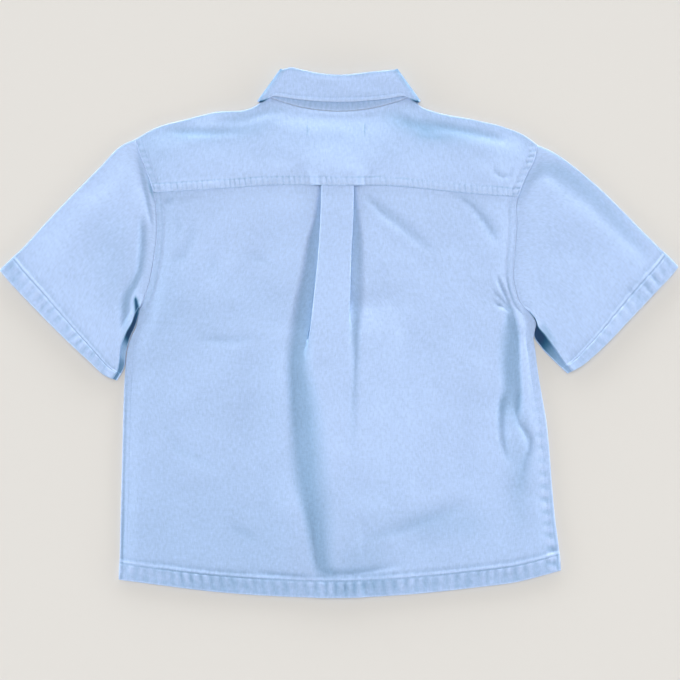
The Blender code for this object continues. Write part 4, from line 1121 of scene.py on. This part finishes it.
def sleeve(side):
    """Rings of a flattened tube, with the upper layer's edge rolled over short of the lower one's."""
    shape = SLEEVES[side]
    out = -1 if side == "left" else 1
    armhole = armhole_points(side, out)
    steps = np.linalg.norm(np.diff(armhole, axis=0), axis=1)
    reach = np.concatenate([[0], np.cumsum(steps)]) / steps.sum()
    top_ends, under_ends = (shape[name].along([0.0, 1.0]) for name in ("top", "under"))
    length = np.linalg.norm(top_ends[1] - top_ends[0])
    share = np.concatenate([np.arange(0, 12, 1.5), np.arange(12, length - CUFF_HEM - 6, 2.6),
                            np.arange(length - CUFF_HEM - 4, length - 0.5, 1.2), [length]]) / length
    top_bow = shape["top"].along(share) - mix(top_ends[0], top_ends[1], share[:, None])
    under_bow = shape["under"].along(share) - mix(under_ends[0], under_ends[1], share[:, None])

    def plan(w):
        """Places at shares w round each ring, from the shoulder to the underarm."""
        w = np.broadcast_to(w, (len(share), np.shape(w)[-1]))
        start = np.stack([flow(w, reach, armhole[:, axis]) for axis in (0, 1)], 2)
        along, across = share[:, None, None], w[..., None]
        ruled = mix(start, shape["cuff"].along(w), along)
        ruled = ruled + mix(top_bow[:, None], under_bow[:, None], across)
        belly = smooth((across - 0.5) / 0.35) * smooth((1 - across) / 0.07) * along * (1 - along) ** 2
        return ruled + np.array([out, 0.5]) * PIT_BELLY * belly

    in_hem = smooth((share * length - length + CUFF_HEM) / STEP + 0.5)
    wall = mix(CLOTH, DOUBLE, in_hem)[:, None]
    low, radius = wall / 2, (wall + GAP) / 2
    margin = radius + wall / 2
    ends = plan([0.0, 0.03, 0.97, 1.0])
    width = np.linalg.norm(ends[:, 3] - ends[:, 0], axis=1)[:, None]
    from_top, to_under = (unit(ends[:, k + 1] - ends[:, k])[:, None] for k in (0, 2))
    inset = shape["inset"].at("inset", share)[:, None]
    edge_w = 1 - inset / width
    rise = mix(*EDGE_RISES, smooth(share / 0.12)) * mix(1, 0.8, in_hem)
    sideways, up = turned_path(mix(*EDGE_TURNS, in_hem), 1.2 + 0 * rise, rise, 6)
    bulge = margin[:, :, None]

    upper_w = mix(margin / width, edge_w, np.linspace(0, 1, 72))
    upper = plan(upper_w)
    upper[:, -12:] -= to_under * bulge * smooth(np.linspace(0, 1, 12))[:, None]
    x, y = upper[..., 0], upper[..., 1]
    from_seam, from_fold = share[:, None] * length, upper_w * width
    in_from_cuff = (1 - share[:, None]) * length
    in_hem = in_hem[:, None]
    loft = SLEEVE_LOFT * smooth(from_seam / 32) * mix(1, 0.6, in_hem)
    free = smooth(from_fold / 30) * smooth(from_seam / 25) * mix(1, 0.4, in_hem)
    folds = sum_of(SLEEVE_CREASES, x, y) * smooth(from_fold / 12 + 0.3)
    slow, fine = waves(x, y, SEEDS["sleeve"], (0.9, 50), (0.4, 20))
    hem, hem_wear_and_shade = hem_relief(from_fold, in_from_cuff, CUFF_HEM, SEEDS[f"cuff {side}"], 0.7, -0.02)
    air = soft_floor(loft * smooth(from_fold / 45) + slow * free + folds * mix(1, 0.5, in_hem))
    near_edge = smooth(1 - (edge_w - upper_w) * width / 12)
    air = mix(air + fine, up[:, -1:], near_edge) + hem * smooth(from_fold / 3)
    air += (DOUBLE - CLOTH) * bell(from_seam, 3.0) * (1 - near_edge)
    upper = np.dstack([upper, low + 2 * radius + air])
    worn = shape_shade(folds, slow, fine) + hem_wear_and_shade
    # painted shade beside the armhole seam and near the top fold
    worn = worn - 0.05 * bell(from_seam - 1.0, 1.5) - 0.2 * smooth((4 - from_fold) / 4)
    worn = worn + SLEEVE_SHADE_DEPTH * sum_of(SLEEVE_SHADES, x, y)

    hem_row = np.argmin(np.abs(in_from_cuff[:, 0] - CUFF_HEM + HEM_ROW))
    rows_of_stitches[f"sleeve_{side}", "above"] = [upper[hem_row, :-6, :2]]

    edge = plan(edge_w)
    roll = np.dstack([edge - to_under * (sideways[..., None] + bulge), low + 2 * radius + up])[:, -2::-1]
    last = plan([[1.0]]) - to_under * bulge
    strip_share = np.linspace(0, 1, 8)[1:, None]
    strip_z = np.broadcast_to((low + 2 * radius)[:, :, None], (len(share), 7, 1))
    strip = np.concatenate([mix(roll[:, -1:, :2], last, strip_share), strip_z], 2)
    angle = half_turn(7)[:, None]
    under_fold = last + to_under * (radius[:, :, None] * np.cos(angle))
    under_fold = np.dstack([under_fold, low + radius + radius * np.sin(angle[:, 0])])
    lower_w = mix(1 - margin / width, margin / width, np.linspace(0, 1, 44))
    lower = plan(lower_w)
    rows_of_stitches[f"sleeve_{side}", "below"] = [lower[hem_row]]
    lower = np.dstack([lower, np.broadcast_to(low, lower.shape[:2])])
    top_fold = lower[:, -1:, :2] - from_top * (radius[:, :, None] * np.cos(angle))
    top_fold = np.dstack([top_fold, low + radius - radius * np.sin(angle[:, 0])])
    layers = (roll, strip, under_fold, lower, top_fold)
    # painted shade on the rolled edge and the strip under it, deep in the gap, and round the top fold
    shade = shape["inside"].at("worn", share)[:, None]
    tones = (0.6 * shade, shade, 0 * shade, 0 * shade + 0.05, 0 * shade - 0.2)
    toned = [np.repeat(tone, layer.shape[1], 1) for tone, layer in zip(tones, layers)]
    return np.concatenate([upper, *layers], 1), wall, np.concatenate([worn, *toned], 1)


# Collar: a flattened ring that is open at centre front. A column of it is its place on the
# middle plane at the neck seam and at the fold, and the way from that plane out to the cloth.

LEAF_ROW = 5.2  # of stitches, in from the leaf's edge


def collar_columns(front_end):
    """Columns from the left end at centre front, round the back, to the right end."""
    columns = []
    for sign in (-1, 1):
        half = []
        for angle in np.radians(np.linspace(front_end, 0, 46)):
            low = (sign * NECK_HALF * np.cos(angle), NECK_SIDE_Y - NECK_FRONT_DROP * np.sin(angle))
            high = (sign * COLLAR_TOP_HALF * np.cos(angle),
                    COLLAR_TOP_SIDE_Y - COLLAR_TOP_FRONT_DROP * np.sin(angle))
            half.append((low, high, (0, 0, -1), "front", sign, np.degrees(angle) / 90))
        rise = unit(np.array([COLLAR_TOP_HALF - NECK_HALF, COLLAR_TOP_SIDE_Y - NECK_SIDE_Y]))
        for side in half_turn(7)[::-1]:
            out = (sign * rise[1] * np.cos(side), -rise[0] * np.cos(side), np.sin(side))
            half.append(((sign * NECK_HALF, NECK_SIDE_Y), (sign * COLLAR_TOP_HALF, COLLAR_TOP_SIDE_Y),
                         out, "side", sign, 0.0))
        columns += half if sign < 0 else half[::-1]
        if sign < 0:
            for back in np.linspace(-1, 1, 75):
                low = (NECK_HALF * back, neck_back_y(NECK_HALF * back))
                high = (COLLAR_TOP_HALF * back, flow(back, *zip(*COLLAR_TOP_YS)))
                columns.append((low, high, (0, 0, 1), "back", np.sign(back), abs(back)))
    return [(np.array([*low, COLLAR_MID_Z]), np.array([*high, COLLAR_MID_Z]), np.array(out), *kind)
            for low, high, out, *kind in columns]


def collar_stand():
    """Grid of the stand, from the neck seam up."""
    points, worn = [], []
    for low, high, out, where, sign, place in collar_columns(90 + STAND_OVERLAP):
        share = np.concatenate([np.linspace(0, 0.3, 10), np.linspace(0.35, STAND_SHARE, 14)])[:, None]
        column = mix(low, high, share) + out * COLLAR_TURN
        column[0] += unit(high - low) * SEAM_GAP
        if where == "front" and sign < 0:
            column[:, 2] += 2 * COLLAR_TURN * smooth((place - 0.72) / 0.16)
        up = np.linalg.norm(column - column[0], axis=1)
        row = bell(up - 3.2, 0.9)
        draw = puckers(low[0], 0 * up, STAND_PITCH, 0.0, SEEDS["stand"])
        column += out * (0.12 * draw * smooth(up / 3) - 0.25 * row)[:, None]
        points.append(column)
        # painted shade and highlight on the puckers, painted shadow up under the leaf, and painted light
        # along the neck seam
        worn.append(0.07 * draw - 0.06 * row - 0.16 * smooth(up / 8) + 0.3 * bell(up, 0.8))
    return np.stack(points[::-1], 1), COLLAR, np.stack(worn[::-1], 1)


def leaf_edge(where, sign, place, widest):
    """The leaf's free edge at a column, in plan."""
    if where == "back":
        hook = smooth((place - 0.8) / 0.2)
        arch = LEAF_BACK_Y + LEAF_BACK_ARCH * min(place / 0.8, 1.0) ** 2
        return np.array([sign * LEAF_SIDE[0] * place, mix(arch, LEAF_SIDE[1], hook)])
    share = place / widest
    side, bulge, point = (np.array(p) for p in (LEAF_SIDE, LEAF_BULGE, LEAF_POINT))
    x, y = (1 - share) ** 2 * side + 2 * share * (1 - share) * bulge + share**2 * point
    return np.array([sign * x, y])


def collar_leaf():
    """Grid of the leaf, from inside the stand over the fold and down to its free edge."""
    columns = collar_columns(90 - LEAF_OPENING)
    widest = max(place for _, _, _, where, _, place in columns if where == "front")
    points, worn = [], []
    rows = {"above": [], "left": [], "right": []}
    for low, high, out, where, sign, place in columns:
        rise = unit(high - low)
        inner, outer = out * COLLAR_TURN, out * LEAF_REACH
        if where == "front":
            outer = out * (COLLAR_MID_Z - COLLAR / 2)
        edge = leaf_edge(where, sign, place, widest)
        start = mix(low, high, STAND_SHARE) + inner + rise * GAP * 3
        top = high - rise * (COLLAR_TURN + COLLAR / 2)
        swing = np.linalg.norm(outer - inner) / 2
        angle = half_turn(8)[:, None]
        fold = top + (inner + outer) / 2 + swing * (rise * np.cos(angle) - out * np.sin(angle))
        below = np.array([*edge, COLLAR_MID_Z]) + outer
        share = np.concatenate([np.linspace(0, 0.78, 20), np.linspace(0.81, 1, 10)])[:, None]
        fall = mix(top + outer, below, share)
        to_edge = np.linalg.norm(fall - below, axis=1)
        row = bell(to_edge - LEAF_ROW, 0.9)
        which = {"back": "above", "front": "left" if sign < 0 else "right"}.get(where)
        if which:
            rows[which].append([np.interp(LEAF_ROW, to_edge[::-1], fall[::-1, axis]) for axis in (0, 1)])
        swell = 0.2 * bell(to_edge - 2.4, 2.0) - 0.12 * row
        x, y = fall[:, 0], fall[:, 1]
        slow = 0.5 * rumple(x, y, 26, SEEDS["leaf"]) + 0.12 * rumple(x, y, 8, SEEDS["leaf"] + 1)
        slow = (slow + 0.3) * smooth(to_edge / 15) * smooth(share[:, 0] / 0.2)
        draw = puckers(x, to_edge, LEAF_PITCH, 0.1, SEEDS["leaf edge"])
        draw = draw * smooth(to_edge / 2) * smooth((20 - to_edge) / 10)
        if where == "back":
            fall += out * (swell + slow + 0.14 * draw)[:, None]
        points.append(np.concatenate([np.linspace(start, top + inner, 3), fold, fall]))
        # paler at the rubbed edge, painted shade and highlight on the puckers, and painted shade just past
        # the fold
        edge_tone = 0.22 * bell(to_edge - 0.6, 1.3) - 0.03 * row + 0.05 * slow + 0.05 * draw
        edge_tone = edge_tone - 0.12 * smooth(1 - np.linalg.norm(fall - fall[0], axis=1) / 5)
        # painted shadow in hooks under the leaf's two ends, and painted shade over the rims at its sides
        # and back ends
        hook = smooth((place - 0.86) / 0.1) if where == "back" else 0.0
        turned = {"back": 0.14 * smooth((place - 0.9) / 0.1), "side": 0.36}.get(where, 0.0)
        edge_tone = edge_tone - 1.1 * hook * bell(to_edge, 2.8) - turned
        # painted shade inside the stand and round the fold
        worn.append(np.concatenate([np.full(3, -0.2), np.full(7, -0.14 - turned), edge_tone]))
    rows_of_stitches["collar_leaf", "above"] = [np.array(rows["above"])]
    rows_of_stitches["collar_leaf", "below"] = [np.array(rows[side]) for side in ("left", "right")]
    return np.stack(points, 1), COLLAR, np.stack(worn, 1)


# Materials


class Value:
    """An output of a node. Sums and products of it add Math nodes."""

    def __init__(self, nodes, socket):
        self.nodes, self.socket = nodes, socket

    def math(self, operation, first, second):
        return self.nodes.add("Math", {"operation": operation}, {0: first, 1: second})

    def positive(self):
        return self.math("MAXIMUM", self, 0.0)

    def neighbour(self, output):
        """Another output of the same node."""
        return Value(self.nodes, self.socket.node.outputs[output])

    def __add__(self, other):
        return self.math("ADD", self, other)

    def __sub__(self, other):
        return self.math("SUBTRACT", self, other)

    def __rsub__(self, other):
        return self.math("SUBTRACT", other, self)

    def __mul__(self, other):
        return self.math("MULTIPLY", self, other)

    __radd__ = __add__
    __rmul__ = __mul__


class Nodes:
    """The nodes of a material or a room, and the one way that they are added."""

    def __init__(self, tree):
        self.tree = tree

    def add(self, kind, settings, sockets, output=0):
        made = self.tree.nodes.new(f"ShaderNode{kind}")
        for name, value in settings.items():
            setattr(made, name, value)
        self.feed(made, sockets)
        return Value(self, made.outputs[output])

    def feed(self, node, sockets):
        for name, value in sockets.items():
            if isinstance(value, Value):
                self.tree.links.new(value.socket, node.inputs[name])
            else:
                node.inputs[name].default_value = value

    def colours(self, share, first, second):
        """A colour mixed by a share."""
        return self.add("Mix", {"data_type": "RGBA"}, {0: share, 6: first, 7: second}, output=2)

    def scaled(self, vector, scale):
        return self.add("VectorMath", {"operation": "MULTIPLY"}, {0: vector, 1: scale})

    def noise(self, vector, detail):
        return self.add("TexNoise", {}, {"Vector": vector, "Scale": 1.0, "Detail": detail})


class Finish(Nodes):
    """A material. What changes over its surface is fed to its shader."""

    def __init__(self, name, roughness, specular=0.3):
        self.material = bpy.data.materials.new(name)
        self.material.use_nodes = True
        super().__init__(self.material.node_tree)
        self.shader = self.tree.nodes["Principled BSDF"]
        self.feed(self.shader, {"Roughness": roughness, "Specular IOR Level": specular})


DENIM = (0.385, 0.508, 0.752, 1)
COLLAR_DENIM = (0.365, 0.485, 0.725, 1)
SHADE_BLUE = (0.01, 0.16, 0.28, 1)  # painted shade, in shallow shades
DEEP_SHADE_BLUE = (0.018, 0.049, 0.116, 1)  # painted shade, in the deepest ones
PALE_WEAR_AND_HIGHLIGHT = (0.60, 0.70, 0.84, 1)  # where the cloth is rubbed, and painted highlight
DEEP_SHADE_FROM, DEEP_SHADE_PACE = 0.4, 1.67
THREAD_SPACING = 0.0009


def denim(name, colour):
    """Washed twill: uneven thread along the warp, paler where rubbed and with painted shade and highlight,
    as its attribute says.
    """
    finish = Finish(name, 0.92, 0.12)
    grain = finish.add("Attribute", {"attribute_name": "grain"}, {}, output="Vector")
    worn = finish.add("Attribute", {"attribute_name": "worn"}, {}, output="Fac")
    place = finish.add("SeparateXYZ", {}, {0: grain})
    rib = (place * 0.9 + place.neighbour("Y") * 0.45) * (2 * math.pi / THREAD_SPACING)
    twill = finish.add("Math", {"operation": "SINE"}, {0: rib})
    warp, weft, mottle, clouds = (
        finish.noise(finish.scaled(grain, (*pace, 0)), detail) - 0.5
        for pace, detail in (((1600, 110), 3.0), ((140, 1200), 2.0), ((300, 220), 2.0), ((14, 11), 2.0)))
    tone = warp * 0.34 + weft * 0.16 + mottle * 0.3 + clouds * 0.13 + twill * 0.02
    # painted shade from the attribute's values below 0; rubbed paler and painted highlight from those above
    # 0
    dark = (0 - worn).positive()
    deepest = ((dark - DEEP_SHADE_FROM) * DEEP_SHADE_PACE).positive()
    shaded = finish.colours(deepest, finish.colours(dark * 1.12, colour, SHADE_BLUE), DEEP_SHADE_BLUE)
    cloth = finish.colours(worn.positive(), shaded, PALE_WEAR_AND_HIGHLIGHT)
    lit = finish.add("VectorMath", {"operation": "SCALE"}, {0: cloth, "Scale": 1 + tone})
    height = twill * 0.25 + warp * 1.2 + weft * 0.6
    bump = finish.add("Bump", {}, {"Height": height, "Distance": 0.00012, "Strength": 0.6})
    finish.feed(finish.shader, {"Base Color": lit, "Normal": bump})
    return finish.material


def plain(name, colour, roughness, specular=0.3):
    """One colour with faint specks."""
    finish = Finish(name, roughness, specular)
    speck = finish.add("TexNoise", {}, {"Scale": 900.0, "Detail": 2.0})
    darker = tuple(0.93 * part for part in colour[:3]) + (1,)
    finish.feed(finish.shader, {"Base Color": finish.colours(speck, darker, colour)})
    return finish.material


body_denim = denim("washed denim", DENIM)
collar_denim = denim("washed collar denim", COLLAR_DENIM)
thread = plain("sewing thread", (0.30, 0.42, 0.66, 1), 0.8)
resin = plain("button resin", (0.50, 0.62, 0.78, 1), 0.35, 0.5)
floor_paint = Finish("pale floor", 1.0, 0.0)
floor_paint.feed(floor_paint.shader, {"Base Color": (0.62, 0.602, 0.573, 1)})


# The garment


def sewn(node, grid, finish, slot, ring=False):
    cloth_piece(node, Shell(*grid, ring=ring), finish, slot)


sewn("back_panel", back_panel(), body_denim, "denim")
sewn("back_yoke", yoke(), body_denim, "denim")
sewn("front_right", front("right"), body_denim, "denim")
sewn("front_left", front("left"), body_denim, "denim")
for side in ("left", "right"):
    sewn(f"sleeve_{side}", sleeve(side), body_denim, "denim", ring=True)
sewn("collar_stand", collar_stand(), collar_denim, "collar_denim")
sewn("collar_leaf", collar_leaf(), collar_denim, "collar_denim")


# Stitches

YOKE_STITCHES = (1.7, 10.2)
STITCH, STITCH_GAP, STITCH_WIDTH = 2.3, 0.8, 0.5


def resampled(line, spacing):
    reach = np.concatenate([[0], np.cumsum(np.hypot(*np.diff(line, axis=0).T))])
    count = max(2, int(reach[-1] / spacing))
    place = np.linspace(0, reach[-1], count)
    return np.stack([np.interp(place, reach, line[:, axis]) for axis in (0, 1)], 1)


def stitch_mesh(node, side, lines, length=STITCH, gap=STITCH_GAP, width=STITCH_WIDTH, height=0.2):
    """Small lozenges of thread along lines in plan, each end seated on the cloth."""
    down = -1.0 if side == "above" else 1.0
    tree, vertices, faces = seats[node], [], []
    for line in lines:
        for start, end in zip(starts := resampled(line, length + gap), starts[1:]):
            ends = [start, mix(start, end, length / (length + gap))]
            hits = [tree.ray_cast((*end, -60 * down), (0, 0, down)) for end in ends]
            if any(hit[0] is None for hit in hits):
                continue
            a, b = (np.array(hit[0]) for hit in hits)
            if abs(a[2] - b[2]) > length:
                continue
            normal = unit(np.array(hits[0][1]) + np.array(hits[1][1]))
            normal *= np.sign(-down * normal[2])
            sideways = unit(np.cross(normal, b - a)) * width / 2
            middle = (a + b) / 2
            ring = [middle + sideways, middle + normal * height, middle - sideways, middle - normal * 0.1]
            first = len(vertices)
            vertices += [a, b, *ring]
            for k in range(4):
                this, after = first + 2 + k, first + 2 + (k + 1) % 4
                faces += [(first, after, this), (first + 1, this, after)]
    return np.array(vertices), np.array(faces)


def stitches(node, side, lines, name="stitches", slot="denim", **size):
    piece = make_object(f"{node}_{name}_{side}", *stitch_mesh(node, side, lines, **size), thread)
    carry(piece, slot)


def armhole_rows(side, low, high, forward):
    """Lines along an armhole or a side, in from the body's edge, between two heights."""
    ys = np.linspace(low, high, 60)
    edge = np.stack([side_x(side, ys), ys], 1)
    return [beside(edge, off if side == "right" else -off) for off in forward]


def across(y_of, left, right, inset=3.0):
    xs = np.linspace(left + inset, right - inset, 160)
    return np.stack([xs, y_of(xs)], 1)


hem_left, hem_right = BODY_ROWS["left_x"][-1], BODY_ROWS["right_x"][-1]
seam_left, seam_right = YOKE_ROWS["left_x"][0], YOKE_ROWS["right_x"][0]
back_rows = [across(lambda x: hem_y(x) + HEM - HEM_ROW, hem_left, hem_right)]
for side in ("left", "right"):
    back_rows += armhole_rows(side, 30.0, YOKE_ROWS[f"{side}_y"][0] - 2, FELL_ROWS)
for side, low in (("right", -255), ("left", -262)):
    back_rows += armhole_rows(side, low, 2, (SIDE_ROW,))
stitches("back_panel", "above", back_rows)

yoke_rows = [across(lambda x: seam_y(x) + up, seam_left, seam_right, 4.0) for up in YOKE_STITCHES]
for side in ("left", "right"):
    low, *_, high = YOKE_ROWS[f"{side}_y"]
    yoke_rows += armhole_rows(side, low + 3, high - 6, FELL_ROWS)
yoke_rows += [np.array([(x, y) for y in LABEL_YS], float) for x in LABEL_XS]
stitches("back_yoke", "above", yoke_rows)
shoulder_rows = []
for sign in (-1, 1):
    ends = np.linspace(NECK_HALF + 2, abs(YOKE_ROWS["right_x"][-1]) - 3, 40) * sign
    seam_x, seam_end_y = forward_seam(ends)
    shoulder_rows.append(np.stack([seam_x, seam_end_y + 2.4], 1))
stitches("back_yoke", "below", shoulder_rows)

for side, sign in (("left", -1), ("right", 1)):
    end_x = BODY_ROWS[f"{side}_x"][-1]
    inner = PLACKET / 2 if side == "left" else -PLACKET / 2
    rows = [across(lambda x: hem_y(x) + HEM - HEM_ROW, *sorted((end_x, inner)))]
    rows += armhole_rows(side, 30.0, YOKE_ROWS[f"{side}_y"][FORWARD_SEAM_ROW] - 4, FELL_ROWS)
    if side == "right":
        rows += [np.array([(x, neck_front_y(x) - 4), (x, hem_y(x) + 3)]) for x in (-12.0, 12.0)]
    stitches(f"front_{side}", "below", rows)
    for face in ("above", "below"):
        stitches(f"sleeve_{side}", face, rows_of_stitches[f"sleeve_{side}", face])
for face in ("above", "below"):
    stitches("collar_leaf", face, rows_of_stitches["collar_leaf", face], slot="collar_denim")


# Buttons and buttonholes

# Radius and height round the disc's section, and the thread's way through two holes (y, z)
BUTTON_RIM = ((0, 0.75), (3.3, 0.75), (3.8, 0.35), (4.5, 0.02), (5.1, 0.05), (5.6, 0.45),
              (5.75, 0.95), (5.6, 1.35), (4.9, 1.75), (3.6, 1.95), (0, BUTTON_HEIGHT))
THREAD_WAY = ((-1.5, 1.9), (-1.4, 0.8), (-1, 0.42), (0, 0.36), (1, 0.42), (1.4, 0.8), (1.5, 1.9))
THREAD_RADIUS, THREAD_APART = 0.2, 0.28
HOLE_RADIUS, HOLE_REACH = 0.65, 1.35
BUTTONHOLE = 13.5


def circle(count):
    """Cosines and sines round a circle."""
    angles = 2 * np.pi * np.arange(count) / count
    return list(zip(np.cos(angles), np.sin(angles)))


def vertex(maker, x, y, z):
    return maker.verts.new((x * MM, y * MM, z * MM))


def loft(maker, rings):
    """Faces between rings of vertices."""
    for first, second in zip(rings, rings[1:]):
        for i in range(len(first)):
            j = (i + 1) % len(first)
            maker.faces.new(list(dict.fromkeys((first[i], second[i], second[j], first[j]))))


def made_mesh(maker, name):
    bmesh.ops.recalc_face_normals(maker, faces=maker.faces)
    mesh = bpy.data.meshes.new(name)
    maker.to_mesh(mesh)
    maker.free()
    return mesh


def blank_button():
    """A turned disc, dished on the face that lies down."""
    maker, turns = bmesh.new(), circle(48)
    rings = []
    for radius, height in BUTTON_RIM:
        if radius:
            rings.append([vertex(maker, radius * x, radius * y, height) for x, y in turns])
        else:
            rings.append([vertex(maker, 0, 0, height)] * len(turns))
    loft(maker, rings)
    return made_mesh(maker, "button")


def drilled_button():
    """The disc with its four holes for thread cut."""
    maker = bmesh.new()
    for x, y in ((-1, -1), (-1, 1), (1, -1), (1, 1)):
        made = bmesh.ops.create_cone(maker, cap_ends=True, segments=14, radius1=HOLE_RADIUS * MM,
                                     radius2=HOLE_RADIUS * MM, depth=2 * BUTTON_HEIGHT * MM)
        bmesh.ops.translate(maker, verts=made["verts"],
                            vec=(x * HOLE_REACH * MM, y * HOLE_REACH * MM, BUTTON_HEIGHT / 2 * MM))
    blank, drill = placed("button_blank", blank_button()), placed("drill", made_mesh(maker, "drill"))
    cut = blank.modifiers.new("Holes", "BOOLEAN")
    cut.operation, cut.object, cut.solver = "DIFFERENCE", drill, "EXACT"
    mesh = bpy.data.meshes.new_from_object(
        blank.evaluated_get(bpy.context.evaluated_depsgraph_get()))
    for made in (blank, drill):
        bpy.data.objects.remove(made, do_unlink=True)
    mesh.materials.clear()
    mesh.materials.append(resin)
    mesh.shade_smooth()
    mesh.set_sharp_from_angle(angle=math.radians(40))
    return mesh


def button_thread():
    """Thread through the holes, in two bars across the dish, and down to the placket."""
    maker = bmesh.new()
    for hole in (-HOLE_REACH, HOLE_REACH):
        for turn in (-1, 0, 1):
            middle = hole + THREAD_APART * turn
            rings = [[vertex(maker, middle + THREAD_RADIUS * a, y, z + THREAD_RADIUS * b)
                      for a, b in circle(6)] for y, z in THREAD_WAY]
            loft(maker, rings)
            maker.faces.new(rings[0])
            maker.faces.new(rings[-1][::-1])
    mesh = made_mesh(maker, "button_thread")
    mesh.materials.append(thread)
    return mesh


disc, sewing = drilled_button(), button_thread()
for number, y in enumerate(BUTTON_YS, 1):
    for mesh, name, nodes in ((disc, "disc", (f"button_{number}",)), (sewing, "thread", ())):
        piece = placed(f"button_{number}_{name}", mesh.copy())
        piece.location = (0, y * MM, 0)
        carry(piece, "button", *nodes)


def buttonhole(y, along_placket):
    """Bars of thread round a buttonhole."""
    reach = BUTTONHOLE / 2
    bars = [((off - 0.75, step), (off + 0.75, step)) for off in (-1.0, 1.0)
            for step in np.arange(-reach, reach, 0.55)]
    bars += [((-1.8, end + off), (1.8, end + off)) for end in (-reach, reach) for off in (-0.5, 0.0, 0.5)]
    return [(bar if along_placket else bar[:, ::-1]) + (0, y) for bar in np.array(bars)]


for node, slot, ys, along_placket in (("front_right", "denim", BUTTON_YS[1:], True),
                                      ("collar_stand", "collar_denim", BUTTON_YS[:1], False)):
    stitches(node, "below", [bar for y in ys for bar in buttonhole(y, along_placket)],
             name="buttonholes", slot=slot, length=1.5, gap=0.0, width=0.5, height=0.25)


# Setting

SUN_POWER, SUN_SPREAD, SUN_WAY = 2.2, 50, (-0.04, 0.22, 1.0)
# Even light, the band's strength and its two heights, and how much stronger it is behind the collar
ROOM_EVEN, ROOM_BAND, BAND_TOP, BAND_LOW, ROOM_BIAS = 0.22, 9.2, 0.32, 0.06, 0.5
FLOOR_HALF, FLOOR_Z = 6500.0, -0.2
CAMERA_PLACE, CAMERA_LENS = (0.0012, -0.0078, 2.267), 100

corners = np.array([(x * FLOOR_HALF, y * FLOOR_HALF, FLOOR_Z)
                    for x, y in ((-1, -1), (1, -1), (1, 1), (-1, 1))])
make_object("floor", corners, np.array([[0, 1, 2, 3]]), floor_paint.material)

sun = bpy.data.lights.new("window_light", "SUN")
sun.energy, sun.angle = SUN_POWER, math.radians(SUN_SPREAD)
sun_object = placed("window_light", sun)
sun_object.rotation_euler = Vector(SUN_WAY).to_track_quat("Z", "Y").to_euler()


def room_light():
    """Even light with a bright band low down all round, stronger behind the collar."""
    room = bpy.data.worlds.new("soft room light")
    room.use_nodes = True
    nodes = Nodes(room.node_tree)
    height = nodes.add("SeparateXYZ", {}, {0: nodes.add("TexCoord", {}, {}, "Generated")}, "Z")
    band = nodes.add("MapRange", {"interpolation_type": "SMOOTHSTEP"},
                     {"Value": height, "From Min": BAND_TOP, "From Max": BAND_LOW,
                      "To Min": 0.0, "To Max": ROOM_BAND})
    strength = band * (height.neighbour("Y") * ROOM_BIAS + 1.0) + ROOM_EVEN
    nodes.feed(nodes.tree.nodes["Background"], {"Color": (1, 1, 1, 1), "Strength": strength})
    return room


bpy.context.scene.world = room_light()

camera = bpy.data.cameras.new("camera")
camera.lens, camera.sensor_width = CAMERA_LENS, 36
bpy.context.scene.camera = placed("camera", camera)
bpy.context.scene.camera.location = CAMERA_PLACE
bpy.context.scene.view_settings.view_transform = "Standard"
